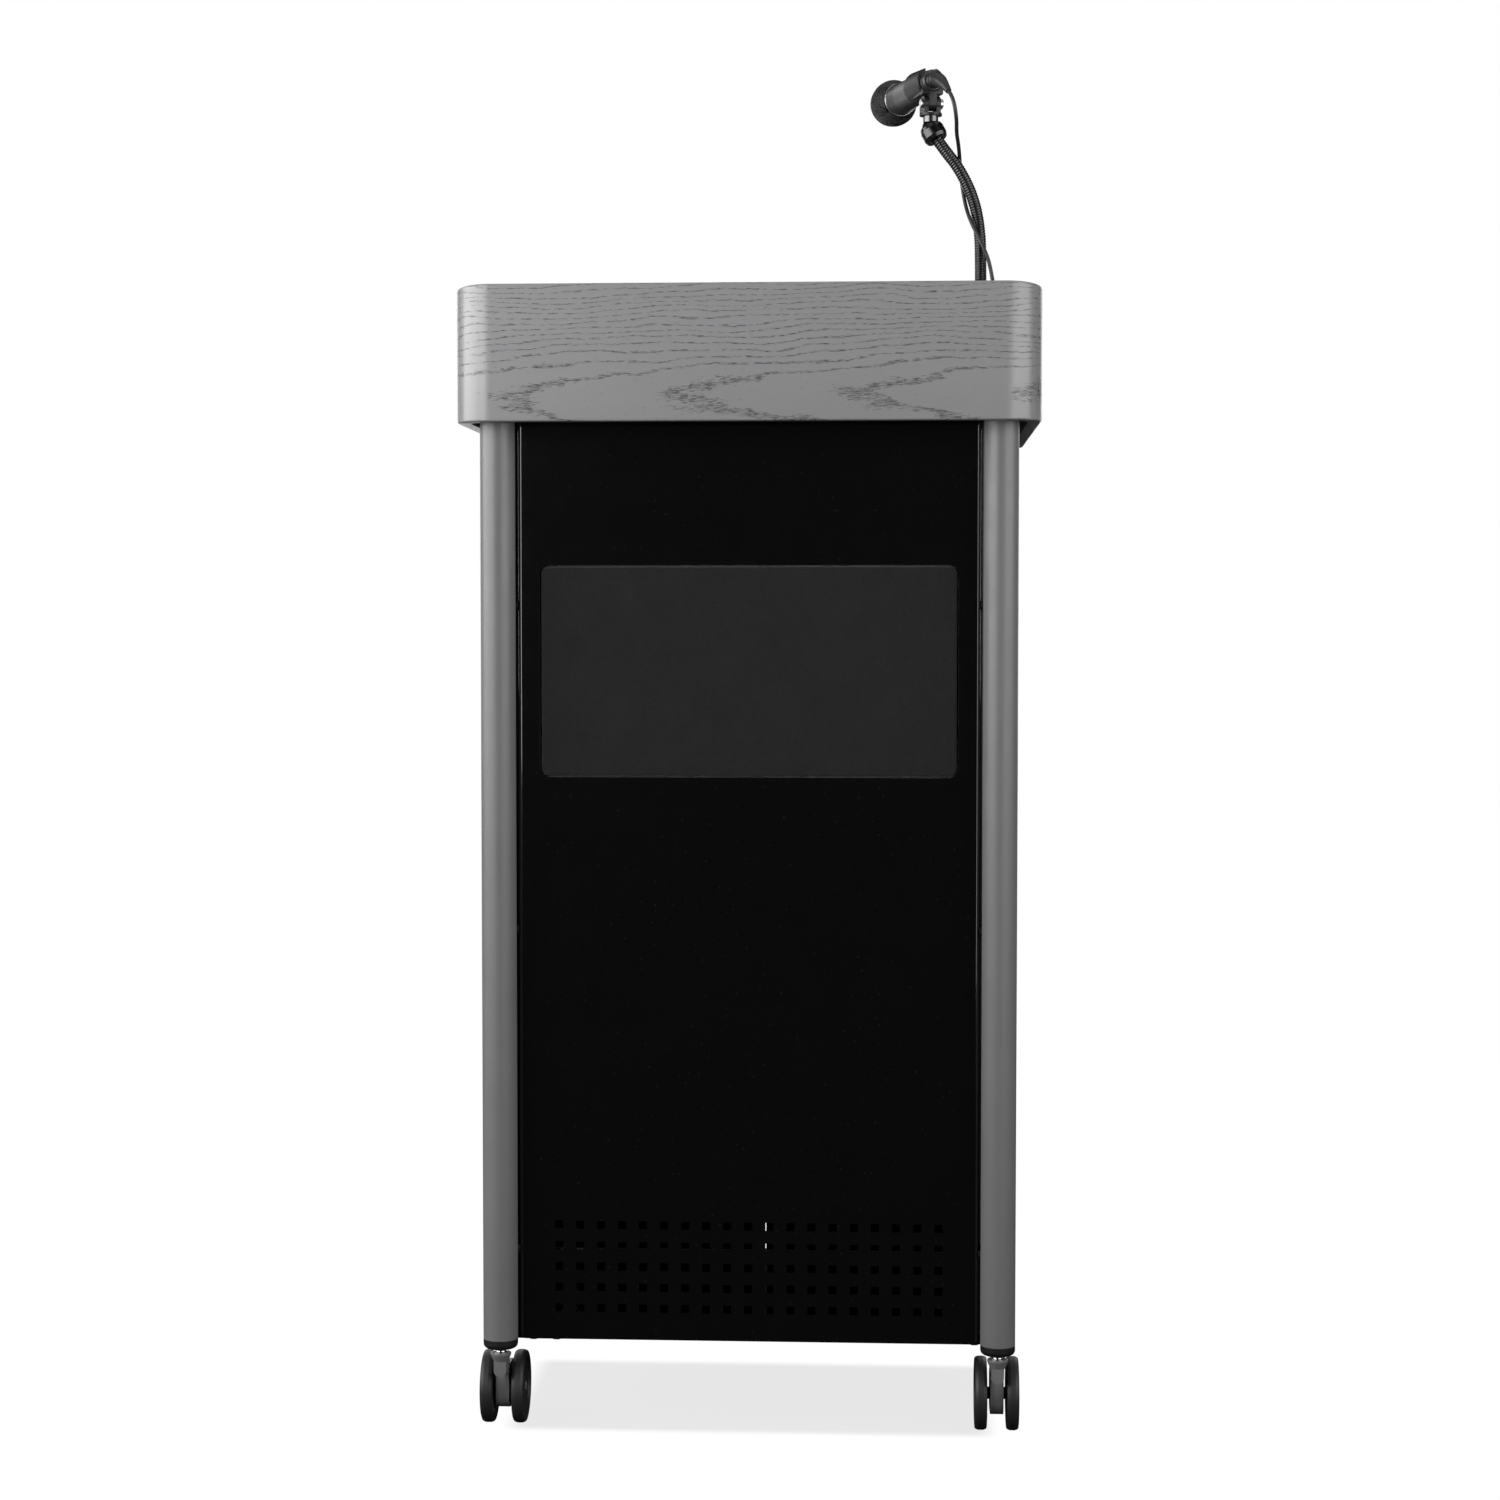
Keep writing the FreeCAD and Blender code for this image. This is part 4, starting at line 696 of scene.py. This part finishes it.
def make_connector():
    """Cable connector with a ribbed collar and a rubber boot that droops to the cable."""
    length, droop, aside = 34, 16, 4.5      # millimetres, to where the cable comes out
    handle_end = 3                          # millimetres behind TAIL
    stations = [                            # (distance behind the handle, radius)
        (0, 8.0), (1.2, 8.6), (3.0, 8.6), (3.8, 7.7), (5.4, 7.7), (6.2, 8.3), (8.6, 8.3),
        (9.4, 7.6), (13, 7.4), (17, 7.0), (21, 6.3), (25, 5.4), (29, 4.4), (32, 3.7), (34.8, 3.1)]
    line = []
    for reach, _ in stations:
        share = reach / length
        line.append(TAIL - FORWARD * (handle_end + reach) * MM
                    - Vector((0, 0, droop * MM * share ** 2.2))
                    + ACROSS * (aside * MM * share ** 2))
    rings = [ring_at(matrix, radius * MM, 0, 48)
             for matrix, (_, radius) in zip(frames_along(line), stations)]
    return shown("mic_connector", loft("mic_connector", rings, sharp=50), "microphone",
                 "cable_jacket", "mic_plug")


make_microphone()
make_ball()
connector = make_connector()
settle_cable(cable)

dress(moulded("black_plastic_finish", 0.005, 0.011, 0.42, Specular_IOR_Level=0.35),
      "leg_end_caps", "panel_spacers", "door_pull_left", "door_pull_right", "cable_grommet",
      "clip_base", "mic_clip", "microphone_volume_knob", "line_volume_knob", "power_inlet",
      "power_switch")
dress(moulded("cable_jacket_finish", 0.008, 0.016, 0.46, grain=0.7), "microphone_lead",
      "mic_connector")
dress(painted("microphone_paint", 0.018, 0.030, 0.36, peel=0.006, peel_size=0.8), "mic_handle")
dress(metal("chrome_finish", 0.62, 0.78, 0.16), "caster_stems")
dress(metal("ring_finish", 0.34, 0.44, 0.32), "mic_silver_ring")
dress(metal("stud_finish", 0.08, 0.16, 0.26), "clip_stud")
dress(metal("wire_finish", 0.05, 0.10, 0.38), "mic_wire_ball")
dress(moulded("liner_foam_finish", 0.002, 0.006, 0.95, grain=0.9, depth=0.05), "mic_foam_liner")
dress(metal("gooseneck_finish", 0.035, 0.070, 0.26), "gooseneck_spiral", "gooseneck_base",
      "gooseneck_collar")

# ---------------------------------------------------------------- other finishes, eased edges
CABINET = ("front_panel", "side_panel_left", "side_panel_right", "bottom_panel", "upper_shelf",
           "cabinet_shelf", "door_left", "door_right", "desk_frame")

dress(painted("leg_paint", 0.120, 0.146, 0.40), *LEGS)
dress(painted("cabinet_paint", 0.0013, 0.0024, 0.14, peel=0.0015, peel_size=3.0, specks=0.05,
              Specular_IOR_Level=0.4, Coat_Weight=0.8, Coat_Roughness=0.06), *CABINET)
dress(metal("steel_finish", 0.42, 0.55, 0.30), "door_pins", "panel_jacks", "clip_screw",
      "panel_screws")
dress(metal("aluminium_finish", 0.05, 0.07, 0.42, stretch=(0.05, 1, 1)), "control_panel")
dress(painted("chassis_paint", 0.03, 0.04, 0.45), "amplifier_chassis", "speaker_baskets")
dress(moulded("cone_paper_finish", 0.012, 0.02, 0.85, grain=1.2, depth=0.05), "speaker_cones")
dress(moulded("enclosure_finish", 0.20, 0.28, 0.8, grain=1.5, depth=0.03), "speaker_enclosure")

for name in (*CABINET, *PEDALS, "clip_base", "mic_clip", "amplifier_chassis", "power_inlet"):
    soften(name)
for caster in CASTERS:
    soften(f"{caster}_housing", 0.8, 3)


# ---------------------------------------------------------------- studio
# name, degrees round from the front (+ is right), distance, height, width, length, watts
LAMPS = (
    ("left_box", -71, 2.5, 1.5, 2.4, 1.8, 85),
    ("left_front", -33, 2.6, 1.35, 0.9, 1.6, 30),
    ("right_front", 30, 2.8, 0.9, 0.7, 1.5, 9),
    ("right_box", 56, 2.5, 1.5, 2.2, 1.8, 48),
    ("rear_left", -155, 2.6, 1.5, 1.4, 1.8, 16),
    ("rear_right", 155, 2.6, 1.5, 1.4, 1.8, 16),
)
TOP_LAMP = 14       # watts
WORLD_LIGHT = 0.02
LAMP_AIM = (0, 0, 0.85)     # about the middle of the lectern
# the painted shadow on the floor: half its width, half its depth, its middle's y, half its edge's
# blur
PAINTED_SHADOW_X, PAINTED_SHADOW_Y, PAINTED_SHADOW_MIDDLE, PAINTED_SHADOW_SOFT = 0.25, 0.14, -0.065, 0.015


def lamp(name, place, aim, width, length, power):
    """Rectangular panel of light that faces a point."""
    data = bpy.data.lights.new(name, "AREA")
    data.shape = "RECTANGLE"
    data.size, data.size_y = width, length
    data.energy = power
    holder = bpy.data.objects.new(name, data)
    bpy.context.scene.collection.objects.link(holder)
    holder.location = place
    holder.rotation_euler = (Vector(aim) - Vector(place)).to_track_quat("-Z", "Y").to_euler()


def make_floor():
    """Pale floor that glows white, with a painted shadow under the lectern."""
    mesh = bpy.data.meshes.new("floor")
    mesh.from_pydata([(-9, -9, 0), (9, -9, 0), (9, 9, 0), (-9, 9, 0)], [], [(0, 1, 2, 3)])
    ground = bpy.data.objects.new("floor", mesh)
    bpy.context.scene.collection.objects.link(ground)
    ground.visible_diffuse = False
    ground.visible_glossy = False
    r = Recipe("floor_finish", Specular_IOR_Level=0.0)
    r.colour(r.blend(r.noise(0.8, detail=3), 0.020, 0.022))
    r.roughness(r.between(r.noise(0.05, detail=2), 0.3, 0.7, 0.85, 0.95))
    # painted shadow: a soft-edged box under the lectern where the floor's glow is lowered
    parts = r.add("SeparateXYZ", Vector=r.point())
    sideways = r.sum("ABSOLUTE", parts.outputs[0])
    lengthways = r.sum("ABSOLUTE", r.sum("SUBTRACT", parts.outputs[1], PAINTED_SHADOW_MIDDLE))
    edges = [r.between(reach, half - PAINTED_SHADOW_SOFT, half + PAINTED_SHADOW_SOFT, 1.0, 0.0)
             for reach, half in ((sideways, PAINTED_SHADOW_X), (lengthways, PAINTED_SHADOW_Y))]
    painted_shadow = r.sum("MULTIPLY", edges[0], edges[1])
    # painted shadow: the glow drops from 1.0 to 0.785 inside the box, and the dark base colour
    # leaves the lamps little to add
    r.feed(r.shader.inputs["Emission Strength"], r.sum("MULTIPLY_ADD", painted_shadow, -0.215, 1.0))
    r.feed(r.shader.inputs["Emission Color"], (1, 1, 1, 1))
    mesh.materials.append(r.material)


def make_surroundings():
    """White backdrop to the camera, and only a faint light from all round."""
    world = bpy.data.worlds.new("studio")
    world.use_nodes = True
    tree = world.node_tree
    faint = tree.nodes["Background"]
    white = tree.nodes.new("ShaderNodeBackground")
    for background, strength in ((faint, WORLD_LIGHT), (white, 1.0)):
        background.inputs["Color"].default_value = (1, 1, 1, 1)
        background.inputs["Strength"].default_value = strength
    path = tree.nodes.new("ShaderNodeLightPath")
    chooser = tree.nodes.new("ShaderNodeMixShader")
    tree.links.new(path.outputs["Is Camera Ray"], chooser.inputs[0])
    tree.links.new(faint.outputs[0], chooser.inputs[1])
    tree.links.new(white.outputs[0], chooser.inputs[2])
    tree.links.new(chooser.outputs[0], tree.nodes["World Output"].inputs["Surface"])
    bpy.context.scene.world = world


def make_lamps():
    """Big softboxes round the lectern, and one above it."""
    for name, bearing, distance, height, width, length, power in LAMPS:
        angle = math.radians(bearing)
        place = (distance * math.sin(angle), -distance * math.cos(angle), height)
        lamp(name, place, LAMP_AIM, width, length, power)
    lamp("top", (0, -0.2, 3.2), (0, 0, 0), 2.6, 2.2, TOP_LAMP)


make_floor()
make_surroundings()
make_lamps()
bpy.context.scene.view_settings.view_transform = "Standard"
